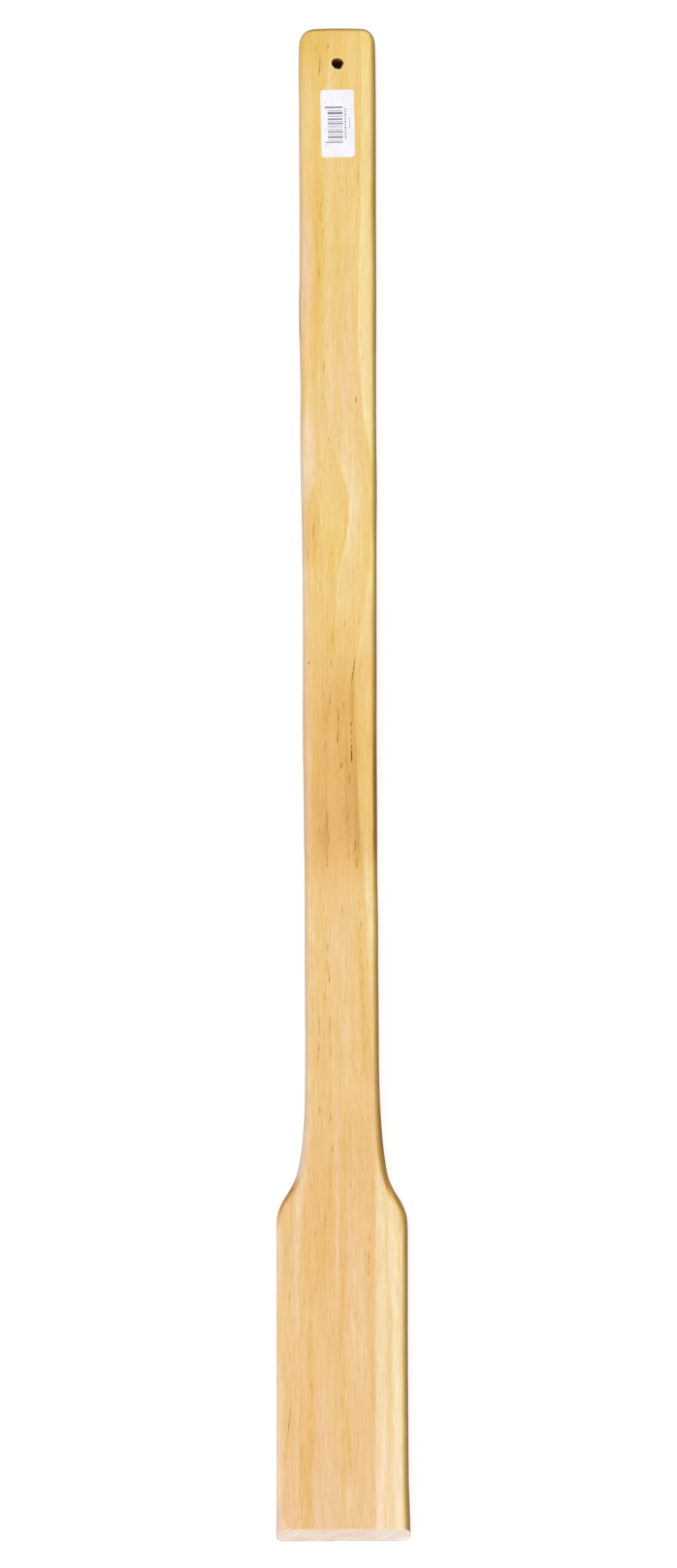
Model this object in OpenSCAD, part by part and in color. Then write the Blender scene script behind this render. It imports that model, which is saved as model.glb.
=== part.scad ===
// Long one-piece wooden mixing paddle with a drilled hanging hole and a paper label.
// It lies on its back face: +X is across the blade, +Y runs up the handle,
// +Z is out of the front face. The origin is on the back face, at the middle
// of the paddle's length and width. All sizes are in millimetres.

/* [Board] */
// Overall length, blade end to handle end
total_len = 1219.2; // [900:1:1500]
// Thickness of the board
thick = 25.4; // [19:0.1:32]
// Width of the blade
blade_w = 100; // [85:0.5:115]
// Width of the handle at its end
handle_w = 58.4; // [50:0.2:62]
// Width of the handle at the neck, just above the flare
neck_w = 55.6; // [48:0.2:60]
// Radius of the handle end's corners, seen from the front
corner_r = 14; // [8:0.5:20]

/* [Flare] */
// Length of the blade, from its end to where the shoulders start
blade_len = 247.4; // [200:0.2:300]
// Steepest angle of the shoulders against the paddle's length
shoulder_a = 28.5; // [20:0.5:35]
// Radius of the convex shoulder beside the blade
shoulder_r = 34; // [20:1:45]
// Radius of the tight part of the concave neck curve
neck_r = 78; // [50:1:90]
// Radius of the slow part of the concave neck curve
run_r = 350; // [250:5:420]
// Angle at which the tight neck curve turns into the slow one
run_a = 9.5; // [6:0.5:11]

/* [Edges] */
// How far the rounded edge reaches across the face
round_w = 5; // [3:0.25:7]
// How far the rounded edge reaches down the side
round_d = 9; // [4:0.5:11]

/* [Hanging hole] */
// Diameter of the hanging hole
hole_d = 9; // [6:0.1:13]
// Distance of the hole's centre from the handle's end
hole_in = 31.4; // [24:0.2:45]
// Distance of the hole's centre from the middle line, to the right
hole_off = 0.6; // [-2:0.1:2]

/* [Label] */
// Width of the label
label_w = 25.4; // [20:0.1:32]
// Length of the label
label_l = 55.5; // [45:0.5:60]
// Thickness of the label
label_t = 0.12; // [0.08:0.01:0.3]
// Radius of the label's corners
label_r = 2.6; // [1:0.1:4]
// Distance of the label's centre from the handle's end
label_in = 81.2; // [72:0.2:110]
// Distance of the label's centre from the middle line, to the right
label_off = 0.5; // [-3:0.1:3]
// Turn of the label, counter-clockwise seen from the front
label_a = 0.8; // [-2:0.1:2]

/* [Hidden] */

half_l = total_len / 2;
half_b = blade_w / 2;
half_n = neck_w / 2;
half_h = handle_w / 2;

// The flare's straight stretch closes what its three curves leave open.
arcs_in = shoulder_r * (1 - cos(shoulder_a))
        + neck_r * (cos(run_a) - cos(shoulder_a))
        + run_r * (1 - cos(run_a));
ramp = (half_b - half_n - arcs_in) / sin(shoulder_a);

// Distances from the blade end, and half widths, at which one curve passes into the next
s1 = blade_len;
s2 = s1 + shoulder_r * sin(shoulder_a);
w2 = half_b - shoulder_r * (1 - cos(shoulder_a));
s3 = s2 + ramp * cos(shoulder_a);
w3 = w2 - ramp * sin(shoulder_a);
s4 = s3 + neck_r * (sin(shoulder_a) - sin(run_a));
w4 = w3 - neck_r * (cos(run_a) - cos(shoulder_a));
s5 = s4 + run_r * sin(run_a);
s6 = total_len - corner_r;

n_sh = 8;    // steps round the shoulder
n_nk = 7;    // steps round the tight neck curve
n_rn = 6;    // steps round the slow neck curve
n_cr = 14;   // steps round a corner of the handle's end
n_ed = 8;    // steps round an edge

// Each outline point is [half width, distance from the blade end, outward normal x, outward normal y].
right = concat(
    [[half_b, 0, 1, 0]],
    [for (i = [0:n_sh]) let (a = shoulder_a * i / n_sh)
        [half_b - shoulder_r * (1 - cos(a)), s1 + shoulder_r * sin(a), cos(a), sin(a)]],
    [for (i = [0:n_nk]) let (a = shoulder_a + (run_a - shoulder_a) * i / n_nk)
        [w3 - neck_r * (cos(a) - cos(shoulder_a)), s3 + neck_r * (sin(shoulder_a) - sin(a)), cos(a), sin(a)]],
    [for (i = [1:n_rn]) let (a = run_a * (1 - i / n_rn))
        [w4 - run_r * (cos(a) - cos(run_a)), s4 + run_r * (sin(run_a) - sin(a)), cos(a), sin(a)]],
    [for (i = [0:n_cr]) let (a = 90 * i / n_cr)
        [half_h - corner_r * (1 - cos(a)), s6 + corner_r * sin(a), cos(a), sin(a)]]
);
n = len(right);

// Levels through the thickness: [height, how far the outline has moved in]
levels = concat(
    [for (i = [0:n_ed]) let (a = 90 * i / n_ed) [round_d * (1 - sin(a)), round_w * (1 - cos(a))]],
    [for (i = [0:n_ed]) let (a = 90 * i / n_ed) [thick - round_d * (1 - sin(a)), round_w * (1 - cos(a))]]
);
// The levels, from the back face up to the front face
order = concat([for (i = [n_ed:-1:0]) levels[i]], [for (i = [0:n_ed]) levels[n_ed + 1 + i]]);
m = len(order);

function fix(i, lv, side) = let (p = right[i])
    [side * (p[0] - p[2] * lv[1]), p[1] - p[3] * lv[1] - half_l, lv[0]];

module board_body() {
    // Points: for each level, the right side from blade to handle end, then the left side.
    pts = [for (lv = order) for (side = [1, -1]) for (i = [0:n - 1]) fix(i, lv, side)];
    function r(k, i) = k * 2 * n + i;
    function l(k, i) = k * 2 * n + n + i;
    sides = [for (k = [0:m - 2]) for (i = [0:n - 2]) each [
        [r(k, i), r(k + 1, i), r(k + 1, i + 1), r(k, i + 1)],
        [l(k, i), l(k, i + 1), l(k + 1, i + 1), l(k + 1, i)]]];
    handle_end = [for (k = [0:m - 2]) [r(k, n - 1), r(k + 1, n - 1), l(k + 1, n - 1), l(k, n - 1)]];
    blade_end = [for (k = [0:m - 2]) [l(k, 0), l(k + 1, 0), r(k + 1, 0), r(k, 0)]];
    back = [for (i = [0:n - 2]) [l(0, i), r(0, i), r(0, i + 1), l(0, i + 1)]];
    front = [for (i = [0:n - 2]) [r(m - 1, i), l(m - 1, i), l(m - 1, i + 1), r(m - 1, i + 1)]];
    polyhedron(points = pts, faces = concat(sides, handle_end, blade_end, back, front), convexity = 6);
}

// One pine board: handle, flared neck and flat blade, with rounded edges and a drilled hole
module paddle_board() {
    color([0.93, 0.78, 0.53])
    difference() {
        board_body();
        translate([hole_off, half_l - hole_in, -1])
            cylinder(d = hole_d, h = thick + 2, $fn = 64);
    }
}

// Outline of the label: a rectangle with round corners
module label_outline() {
    x = label_w / 2 - label_r;
    y = label_l / 2 - label_r;
    square([2 * x, label_l], center = true);
    square([label_w, 2 * y], center = true);
    for (sx = [-1, 1]) for (sy = [-1, 1])
        translate([sx * x, sy * y]) circle(r = label_r, $fn = 48);
}

// Paper label on the front face, below the hole
module paper_label() {
    color([0.96, 0.96, 0.98])
    translate([label_off, half_l - label_in, thick])
        rotate([0, 0, label_a])
            linear_extrude(height = label_t) label_outline();
}

paddle_board();
paper_label();
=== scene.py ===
import math

import bpy
import numpy as np
from mathutils import Matrix, Vector


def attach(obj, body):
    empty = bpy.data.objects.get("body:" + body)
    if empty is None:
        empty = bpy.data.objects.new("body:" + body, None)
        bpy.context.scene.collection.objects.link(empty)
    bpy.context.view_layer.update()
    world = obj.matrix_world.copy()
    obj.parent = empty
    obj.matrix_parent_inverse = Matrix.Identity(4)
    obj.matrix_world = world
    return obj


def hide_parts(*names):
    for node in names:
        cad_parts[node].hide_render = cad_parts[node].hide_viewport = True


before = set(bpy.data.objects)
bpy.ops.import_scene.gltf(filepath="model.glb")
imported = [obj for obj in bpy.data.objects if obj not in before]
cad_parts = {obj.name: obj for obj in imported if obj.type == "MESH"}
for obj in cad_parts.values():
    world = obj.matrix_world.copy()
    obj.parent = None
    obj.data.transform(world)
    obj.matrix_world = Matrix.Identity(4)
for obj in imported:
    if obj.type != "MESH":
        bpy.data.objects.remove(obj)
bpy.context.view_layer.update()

# ------------------------------------------------------------------ sizes, in millimetres
LEN, TH = 1219.2, 25.4
HOLE = (0.6, LEN - 31.4, 4.5)            # x, distance from the blade end, radius
LABEL = (0.5, LEN - 81.2, 25.4, 55.5, 2.6, 0.8)   # x, distance, width, length, corner radius, turn

# How the front face lies in the photograph: pixels to millimetres
ACROSS, ALONG, BEND = 0.7305, 0.7846, 5.9


def bend(s):
    return BEND * (1 - ((np.asarray(s, float) - LEN / 2) / (LEN / 2)) ** 2)


def photo_px(x, s):
    """Photo pixel of a point of the front face: x across, s from the blade end."""
    y = 1581.0 - (s + bend(s)) / ALONG
    return 348.1 + 0.00416 * (y - 58.0) + x / ACROSS, y


def smooth(t):
    t = np.clip(t, 0.0, 1.0)
    return t * t * (3 - 2 * t)


def curve(pts, q, col=1):
    """Smooth curve through given stations (first column rising), at q."""
    p = np.array([[r[0], r[col]] for r in pts], float)
    x, y = p[:, 0], p[:, 1]
    d = np.diff(y) / np.diff(x)
    m = np.zeros(len(x))
    h = np.diff(x)
    m[0], m[-1] = d[0], d[-1]
    for i in range(1, len(x) - 1):
        if d[i - 1] * d[i] > 0:
            w1, w2 = 2 * h[i] + h[i - 1], h[i] + 2 * h[i - 1]
            m[i] = (w1 + w2) / (w1 / d[i - 1] + w2 / d[i])
    q = np.clip(np.asarray(q, float), x[0], x[-1])
    k = np.clip(np.searchsorted(x, q) - 1, 0, len(x) - 2)
    t = (q - x[k]) / h[k]
    return ((2 * t**3 - 3 * t**2 + 1) * y[k] + (t**3 - 2 * t**2 + t) * h[k] * m[k]
            + (3 * t**2 - 2 * t**3) * y[k + 1] + (t**3 - t**2) * h[k] * m[k + 1])


def waves(seed, kx, ky, x, y, n=9):
    """Smooth seeded unevenness, about -1 to 1."""
    r = np.random.default_rng(seed)
    out = 0.0
    for _ in range(n):
        a, fx, fy, ph = r.uniform(0.5, 1), r.normal(), r.normal(), r.uniform(0, 2 * math.pi)
        out = out + a * np.sin(fx * kx * x + fy * ky * y + ph)
    return out / (0.62 * n**0.5) * 0.6


# ------------------------------------------------------------------ outline of the board
# Distance from the blade end, half width on the left, half width on the right
OUT = [(0, 49.9, 50.4), (10, 49.75, 50.3), (22, 49.6, 50.05), (40, 49.55, 49.85), (75, 49.6, 49.75),
       (150, 49.65, 49.7), (225, 49.5, 49.75), (246, 49.45, 49.7), (251, 49.35, 49.5), (256, 48.95, 49.05),
       (260.5, 47.85, 47.75), (265.2, 46.15, 46.0), (270, 43.75, 43.5), (274.6, 41.1, 40.85),
       (279.3, 38.5, 38.5), (284, 36.25, 36.55), (288.7, 34.45, 35.15), (293.4, 33.1, 34.15),
       (298, 32.05, 33.4), (303, 31.2, 32.75), (308, 30.45, 32.1), (317, 29.45, 31.15), (326.4, 28.7, 30.45),
       (336, 28.15, 29.85), (346, 27.8, 29.35), (364, 27.45, 28.85), (385, 27.25, 28.6), (430, 27.15, 28.4),
       (476, 27.1, 28.2), (524, 27.15, 28.05), (570, 27.35, 28.05), (618, 27.6, 28.1), (665, 27.7, 28.2),
       (712, 27.65, 28.35), (759, 27.65, 28.4), (806, 27.85, 28.5), (853, 28.3, 28.65), (900, 28.65, 28.7),
       (947, 28.75, 28.85), (1041, 28.85, 29.1), (1088, 28.9, 29.2), (1167, 29.0, 29.25), (1190, 29.05, 29.25),
       (1205.2, 29.05, 29.2)]
# How much narrower each side is than those stations: distance from the blade end, left, right
TRIM = [(0, 0.3, 0.05), (20, 0.3, 0.12), (40, 0.4, 0.5), (66, 0.5, 0.55), (105, 0.76, 0.53), (145, 0.8, 0.56), (185, 0.85, 0.5),
        (220, 0.78, 0.35), (245, 0.62, 0.22), (262, 0.6, 0.02), (285, 0.55, 0.12), (298, 0.46, 0.06), (314, 0.42, 0.06), (342, 0.58, 0.0),
        (375, 0.5, 0.08), (412, 0.46, 0.0), (452, 0.31, -0.03), (490, 0.36, -0.24), (528, 0.5, 0.03), (570, 0.28, 0.0), (608, 0.3, 0.04),
        (648, 0.04, 0.1), (686, 0.3, 0.0), (725, 0.4, 0.03), (764, 0.34, -0.08), (803, 0.15, -0.1), (842, -0.06, -0.32), (882, -0.2, -0.1),
        (921, 0.24, -0.08), (950, 0.0, -0.02), (962, -0.12, -0.15), (970, -0.38, -0.16), (982, -0.42, -0.12), (994, -0.52, -0.16), (1002, -0.3, -0.18),
        (1010, -0.06, -0.18), (1040, 0.14, -0.15), (1079, 0.26, -0.12), (1118, 0.16, -0.2), (1158, 0.15, -0.3), (1180, 0.02, -0.24), (1192, 0.06, -0.16),
        (1205.2, 0.3, 0.0)]
FLARE_SHIFT = 3.6                     # the stations from 246 to 346 sit this much nearer the blade end
CORNER = 1205.2                       # where the handle end's corners start
CROWN = 0.35                          # how far the handle end bows out in the middle
TOP_L, TOP_R = 14.4, 17.4             # half widths of the handle end between its corners

M = 80                                # columns across the faces
half_block = 12.08                    # half of the square round the hole that gets its own rings
hole_rows = np.linspace(HOLE[1] - half_block, HOLE[1] + half_block, 41)

s_rows = np.concatenate([
    [0, 0.35, 1.2, 2.4, 4, 6, 8.5, 11.5, 15, 19],
    np.linspace(22.5, 236, 62)[:-1],
    np.linspace(236, 364, 62)[:-1],
    np.linspace(364, hole_rows[0], 232)[:-1],
    hole_rows,
    [HOLE[1] + half_block + 1.1, HOLE[1] + half_block + 2.2, HOLE[1] + half_block + 3.3],
])
s_rows = s_rows[s_rows < CORNER - 0.3]
n_corner = 18
N = len(s_rows) + n_corner            # the last row's index


def outline(side):
    """Points of one side of the outline, with outward normals: x, s, nx, ns."""
    col = 1 if side < 0 else 2
    at = s_rows + FLARE_SHIFT * smooth((s_rows - 238) / 8) * (1 - smooth((s_rows - 345) / 80))
    w = curve(OUT, at, col) - curve(TRIM, s_rows, col)
    w = w + 0.06 * waves(5 + col, 0.05, 0, s_rows, 0) * smooth((s_rows - 30) / 60)
    top = TOP_L if side < 0 else TOP_R
    w_end = curve(OUT, CORNER, col) - curve(TRIM, CORNER, col)
    a = np.linspace(0, math.pi / 2, n_corner + 1)
    p = 2 / 2.22
    cx = top + (w_end - top) * np.cos(a) ** p
    cs = CORNER + (LEN - CROWN - CORNER) * np.sin(a) ** p
    cx[-1] = top
    x = np.concatenate([w, cx]) * side
    s = np.concatenate([s_rows, cs])
    dx, ds = np.gradient(x), np.gradient(s)
    n = np.stack([ds, -dx], 1) * side
    n[:, 1] *= 1
    n /= np.linalg.norm(n, axis=1)[:, None]
    n[0] = (side, 0)
    n[1] = (side, 0)
    n[-1] = (0, 1)
    return np.stack([x, s], 1), n


left, left_n = outline(-1)
right, right_n = outline(1)

# ------------------------------------------------------------------ rounded edges
KR, KS = 8, 3                         # steps round an edge, and down the flat of the side
K = 2 * KR + KS
row_s = left[:, 1]

# Distance from the blade end, reach across, reach down, how much of a chamfer it is
EDGE_L = [(0, 9.6, 17.0, 0.3), (2, 8.4, 15.4, 0.26), (5, 6.9, 12.8, 0.2), (9, 5.7, 10.8, 0.18),
          (15, 5.1, 9.6, 0.15), (24, 4.9, 9.1, 0.15), (150, 4.8, 9.0, 0.15), (250, 4.9, 9.0, 0.1),
          (260, 4.9, 9.2, 0.1), (270, 6.5, 9.4, 0.1), (282, 6.9, 9.4, 0.1), (292, 5.6, 9.2, 0.08), (302, 4.4, 9.0, 0.05), (420, 4.0, 9.0, 0.0),
          (900, 4.0, 9.0, 0.0), (1190, 4.0, 9.0, 0.0), (1208, 3.5, 8.8, 0.0), (1215, 3.5, 8.8, 0.0), (1219, 4.9, 9.0, 0.0)]
EDGE_R = [(0, 4.9, 9.0, 0.15), (60, 4.8, 9.0, 0.12), (150, 4.5, 9.0, 0.12), (235, 4.5, 9.0, 0.12), (262, 5.2, 9.2, 0.12),
          (285, 5.6, 9.4, 0.15), (330, 4.8, 9.2, 0.1), (420, 4.2, 9.0, 0.08), (560, 4.1, 9.0, 0.05), (700, 4.0, 9.0, 0.05),
          (738, 4.3, 9.0, 0.05), (764, 3.7, 9.0, 0.05), (788, 3.3, 9.0, 0.05), (812, 3.9, 9.0, 0.05), (860, 4.1, 9.0, 0.05),
          (915, 3.6, 9.0, 0.05), (978, 4.0, 9.0, 0.05), (1012, 3.7, 9.0, 0.05), (1042, 3.9, 9.0, 0.05), (1080, 4.7, 9.0, 0.05),
          (1140, 4.5, 9.0, 0.05), (1200, 4.3, 9.0, 0.05), (1210, 3.8, 8.8, 0.05), (1215, 3.7, 8.8, 0.05), (1219, 4.9, 9.0, 0.05)]


def edge_profile(table, seed):
    """For each row and level: inset across and height."""
    f = 1 + 0.05 * waves(seed, 0.03, 0, row_s, 0) + 0.03 * waves(seed + 1, 0.11, 0, row_s, 0)
    rw = curve(table, row_s, 1) * f
    rd = curve(table, row_s, 2) * (1 + 0.03 * waves(seed + 2, 0.02, 0, row_s, 0))
    ch = curve(table, row_s, 3)
    bw = 5.0 * (1 + 0.05 * waves(seed + 3, 0.03, 0, row_s, 0))
    bd = np.minimum(9.0 * np.ones_like(rd), TH - rd - 1.2)
    ins, z = np.zeros((len(row_s), K + 1)), np.zeros((len(row_s), K + 1))
    for k in range(KR + 1):
        t, a = k / KR, math.pi / 2 * (1 - k / KR)
        ins[:, k] = rw * ((1 - ch) * (1 - math.cos(a)) + ch * (1 - t))
        z[:, k] = TH - rd * ((1 - ch) * (1 - math.sin(a)) + ch * t)
        ins[:, K - k] = bw * (0.9 * (1 - math.cos(a)) + 0.1 * (1 - t))
        z[:, K - k] = bd * (0.9 * (1 - math.sin(a)) + 0.1 * t)
    for k in range(1, KS):
        t = k / KS
        ins[:, KR + k] = 0.0
        z[:, KR + k] = z[:, KR] * (1 - t) + z[:, KR + KS] * t
    return ins, z


ins_l, z_l = edge_profile(EDGE_L, 31)
ins_r, z_r = edge_profile(EDGE_R, 51)
# both sides meet the handle end in the same profile
blend = smooth((row_s - 1150) / 50)[:, None]
ins_m, z_m = (ins_l + ins_r) / 2, (z_l + z_r) / 2
ins_l, ins_r = ins_l + (ins_m - ins_l) * blend, ins_r + (ins_m - ins_r) * blend
z_l, z_r = z_l + (z_m - z_l) * blend, z_r + (z_m - z_r) * blend


def label_near(x, s, grow=2.5):
    """1 under the label, falling to 0 a little way outside it, so that the face stays flat there."""
    dx = np.maximum(np.abs(x - LABEL[0]) - LABEL[2] / 2 - 0.6, 0)
    ds = np.maximum(np.abs(s - LABEL[1]) - LABEL[3] / 2 - 0.6, 0)
    return 1 - smooth(np.hypot(dx, ds) / grow)


DENTS = [(-14, 388, 1.4, 2.4, 0.12), (9, 214, 2.2, 3.0, 0.16), (-31, 120, 1.6, 4.5, 0.14), (33, 64, 1.2, 2.0, 0.12),
         (4, 655, 1.0, 5.0, 0.08), (-9, 905, 1.3, 3.0, 0.09), (22, 1010, 0.9, 2.0, 0.08), (-38, 30, 1.8, 2.2, 0.14)]


def face_relief(x, s, seed):
    """How far a planed and sanded face lies below its plane."""
    d = 0.045 + 0.035 * waves(seed, 0.05, 0.012, x, s) + 0.012 * waves(seed + 1, 0.9, 0.02, x, s)
    if seed == 70:
        for dx, ds, a, b, h in DENTS:
            d = d + h * np.exp(-((x - dx) / a) ** 2 - ((s - ds) / b) ** 2)
        d = d * (1 - label_near(x, s))
    return np.maximum(d, 0)


# ------------------------------------------------------------------ vertices
u = np.linspace(0, 1, M + 1)
verts, level_of, arris_of, kind_of = [], [], [], []


def put(p, level, arris, kind):
    start = sum(len(v) for v in verts)
    verts.append(np.asarray(p, float).reshape(-1, 3))
    n = len(verts[-1])
    level_of.append(np.broadcast_to(level, n).astype(float))
    arris_of.append(np.broadcast_to(arris, n).astype(float))
    kind_of.append(np.full(n, kind))
    return np.arange(start, start + n)


def side_point(pts, nrm, ins, z, k):
    q = pts - nrm * ins[:, k:k + 1]
    return np.concatenate([q, z[:, k:k + 1]], 1)


def face_grid(k, front):
    a = side_point(left, left_n, ins_l, z_l, k)
    b = side_point(right, right_n, ins_r, z_r, k)
    g = a[:, None, :] * (1 - u[None, :, None]) + b[:, None, :] * u[None, :, None]
    # the handle end bows out a little
    t = smooth((row_s - CORNER) / (row_s[-1] - CORNER))[:, None]
    g[:, :, 1] += t * CROWN * (1 - (2 * u[None, :] - 1) ** 2)
    d = face_relief(g[:, :, 0], g[:, :, 1], 70 if front else 90)
    near = np.minimum(np.abs(g[:, :, 0] - a[:, None, 0]), np.abs(g[:, :, 0] - b[:, None, 0]))
    near = np.minimum(near, np.abs(g[:, :, 1] - (LEN - 5)))
    d = d * smooth(near / 4)
    # sanding drops the face slightly below its plane, and this fades out at its rounded edges
    g[:, :, 2] += (-1 if front else 1) * d
    return g, near


gf, near_f = face_grid(0, True)
gb, near_b = face_grid(K, False)
idF = put(gf, 0, np.exp(-(near_f.ravel() / 1.0) ** 2), 0).reshape(N + 1, M + 1)
idB = put(gb, 0, np.exp(-(near_b.ravel() / 1.0) ** 2), 1).reshape(N + 1, M + 1)

lev = np.minimum(np.arange(K + 1), np.arange(K, -1, -1)) / KR
lev = np.minimum(lev, 1.0)
arr = np.exp(-(lev * KR / 1.3) ** 2)


def strip(pts, nrm, ins, z, col):
    ids = np.zeros((N + 1, K + 1), int)
    ids[:, 0], ids[:, K] = idF[:, col], idB[:, col]
    for k in range(1, K):
        ids[:, k] = put(side_point(pts, nrm, ins, z, k), lev[k], arr[k], 2)
    return ids


idL = strip(left, left_n, ins_l, z_l, 0)
idR = strip(right, right_n, ins_r, z_r, M)

allv = lambda: np.concatenate(verts)


def cap(row, kind, crown):
    ids = np.zeros((M + 1, K + 1), int)
    ids[:, 0], ids[:, K] = idF[row], idB[row]
    ids[0], ids[M] = idL[row], idR[row]
    v = allv()
    for k in range(1, K):
        a, b = v[idL[row, k]], v[idR[row, k]]
        p = a[None] * (1 - u[1:M, None]) + b[None] * u[1:M, None]
        if crown:
            p[:, 1] += CROWN * (1 - (2 * u[1:M] - 1) ** 2)
        ids[1:M, k] = put(p, lev[k] if crown else 0, arr[k] if crown else 0, kind)
    return ids


idE = cap(N, 2, True)
idC = cap(0, 3, False)
# the sawn blade end is not quite even, and its arrises are broken by a hair
v = allv()
for k in range(0, K + 1):
    for side_ids, sgn in ((idL, 1), (idR, -1)):
        v[side_ids[0, k], 0] += sgn * 0.16
v[idF[0], 2] -= 0.16
v[idB[0], 2] += 0.16
inner = np.unique(idC[1:M, 1:K])
v[inner, 1] += 0.03 + 0.03 * waves(11, 0.25, 0.5, v[inner, 0], v[inner, 2]) + 0.02 * waves(12, 1.2, 0.15, v[inner, 0], v[inner, 2])
verts = [v]
level_of, arris_of, kind_of = [np.concatenate(level_of)], [np.concatenate(arris_of)], [np.concatenate(kind_of)]

# ------------------------------------------------------------------ faces
faces, mats = [], []


def quads(a, b, c, d, mat):
    q = np.stack([x.ravel() for x in (a, b, c, d)], 1)
    faces.append(q)
    mats.append(np.full(len(q), mat))


i0 = int(np.argmin(np.abs(s_rows - hole_rows[0])))
i1 = int(np.argmin(np.abs(s_rows - hole_rows[-1])))
x_here = v[idF[i0], 0]
j0 = int(np.argmin(np.abs(x_here - (HOLE[0] - half_block))))
j1 = j0 + (i1 - i0)

keep = np.ones((N, M), bool)
keep[i0:i1, j0:j1] = False
F, B = idF, idB
quads(F[:-1, :-1][keep], F[:-1, 1:][keep], F[1:, 1:][keep], F[1:, :-1][keep], 0)
quads(B[:-1, :-1][keep], B[1:, :-1][keep], B[1:, 1:][keep], B[:-1, 1:][keep], 0)
quads(idL[:-1, :-1], idL[1:, :-1], idL[1:, 1:], idL[:-1, 1:], 0)
quads(idR[:-1, :-1], idR[:-1, 1:], idR[1:, 1:], idR[1:, :-1], 0)
quads(idE[:-1, :-1], idE[1:, :-1], idE[1:, 1:], idE[:-1, 1:], 0)
quads(idC[:-1, :-1], idC[:-1, 1:], idC[1:, 1:], idC[1:, :-1], 1)


def loop(g):
    return np.concatenate([g[i0, j0:j1], g[i0:i1, j1], g[i1, j1:j0:-1], g[i1:i0:-1, j0]])


loop_f, loop_b = loop(F), loop(B)
hx, hs, hr = HOLE
th_f = np.arctan2(v[loop_f, 1] - hs, v[loop_f, 0] - hx)
r_f = np.hypot(v[loop_f, 1] - hs, v[loop_f, 0] - hx)
th_b = np.arctan2(v[loop_b, 1] - hs, v[loop_b, 0] - hx)
r_b = np.hypot(v[loop_b, 1] - hs, v[loop_b, 0] - hx)


def ang(th, at, w):
    d = (th - at + math.pi) % (2 * math.pi) - math.pi
    return np.exp(-(d / w) ** 2)


# torn fibres round the rim, one chip at the lower right and a sliver standing in the bore
rim_f = (0.05 * np.sin(th_f * 5 + 1) + 0.05 * np.sin(th_f * 9 + 2.1) + 0.04 * np.sin(th_f * 17)
         - 0.25 * ang(th_f, -0.35, 0.5) + 0.3 * ang(th_f, 2.3, 0.4)
         - 0.45 * ang(th_f, 3.83, 0.45) + 0.2 * ang(th_f, -1.25, 0.3))
rim_b = 0.07 * np.sin(th_b * 3 + 0.6) + 0.05 * np.sin(th_b * 7 + 1.3) + 0.03 * np.sin(th_b * 13 + 0.4) - 0.3 * ang(th_b, 1.9, 0.35) + 0.25
sliver = 0.8 * ang(th_f, -0.45, 0.34)
rings = [loop_f]


def ring(th, r, z, level, arris, kind):
    p = np.stack([hx + r * np.cos(th), hs + r * np.sin(th), z], 1)
    ids = put(p, level, arris, kind)
    rings.append(ids)


for m in range(1, 9):
    t = 1 - (1 - m / 9) ** 1.25
    r = r_f * (1 - t) + (hr + 0.55 + rim_f) * t
    x, s = hx + r * np.cos(th_f), hs + r * np.sin(th_f)
    ring(th_f, r, TH - face_relief(x, s, 70), 0, 0, 0)
n_plain = len(rings)
ring(th_f, hr + 0.42 + rim_f, TH - 0.07 + 0 * th_f, 0, 0.6, 0)
ring(th_f, hr + 0.16 + rim_f - 0.35 * sliver, TH - 0.2 + 0 * th_f, 0, 1.0, 4)
ring(th_f, hr + 0.03 + 0.5 * rim_f - 0.85 * sliver, TH - 0.6 + 0 * th_f, 0, 0.6, 4)
bore = [(1.4, 0.25, 1.0), (2.6, 0.05, 0.9), (4.5, 0, 0.3), (7, 0, 0), (10, 0, 0), (13.5, 0, 0), (17, 0, 0), (20, 0, 0), (22.5, 0, 0)]
for d, kr, ks in bore:
    wob = 0.05 * np.sin(3 * th_f + d * 0.8) + 0.035 * np.sin(11 * th_f + d * 2.2) + 0.03 * math.sin(d * 3.1)
    ring(th_f, hr + wob + kr * rim_f - ks * sliver, TH - d + 0 * th_f, 0, 0, 4)
ring(th_b, hr + 0.05 + 0.4 * rim_b, 1.3 + 0 * th_b, 0, 0, 4)
ring(th_b, hr + 0.25 + rim_b, 0.35 + 0 * th_b, 0, 0.7, 4)
n_bore = len(rings)
ring(th_b, hr + 0.7 + rim_b, 0.08 + 0 * th_b, 0, 0.5, 1)
for m in range(7, 0, -1):
    t = 1 - (1 - m / 9) ** 1.25
    r = r_b * (1 - t) + (hr + 0.9 + rim_b) * t
    x, s = hx + r * np.cos(th_b), hs + r * np.sin(th_b)
    ring(th_b, r, face_relief(x, s, 90), 0, 0, 1)
rings.append(loop_b)
for m in range(len(rings) - 1):
    a, b = rings[m], rings[m + 1]
    quads(a, np.roll(a, -1), np.roll(b, -1), b, 2 if n_plain <= m < n_bore - 1 else 0)

v = allv()
level = np.concatenate(level_of)
arris = np.concatenate(arris_of)
kind = np.concatenate(kind_of)
fq = np.concatenate(faces)
fm = np.concatenate(mats)
used = np.zeros(len(v), bool)
used[fq] = True
new = np.cumsum(used) - 1
fq = new[fq]
v, level, arris, kind = v[used], level[used], arris[used], kind[used]

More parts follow.
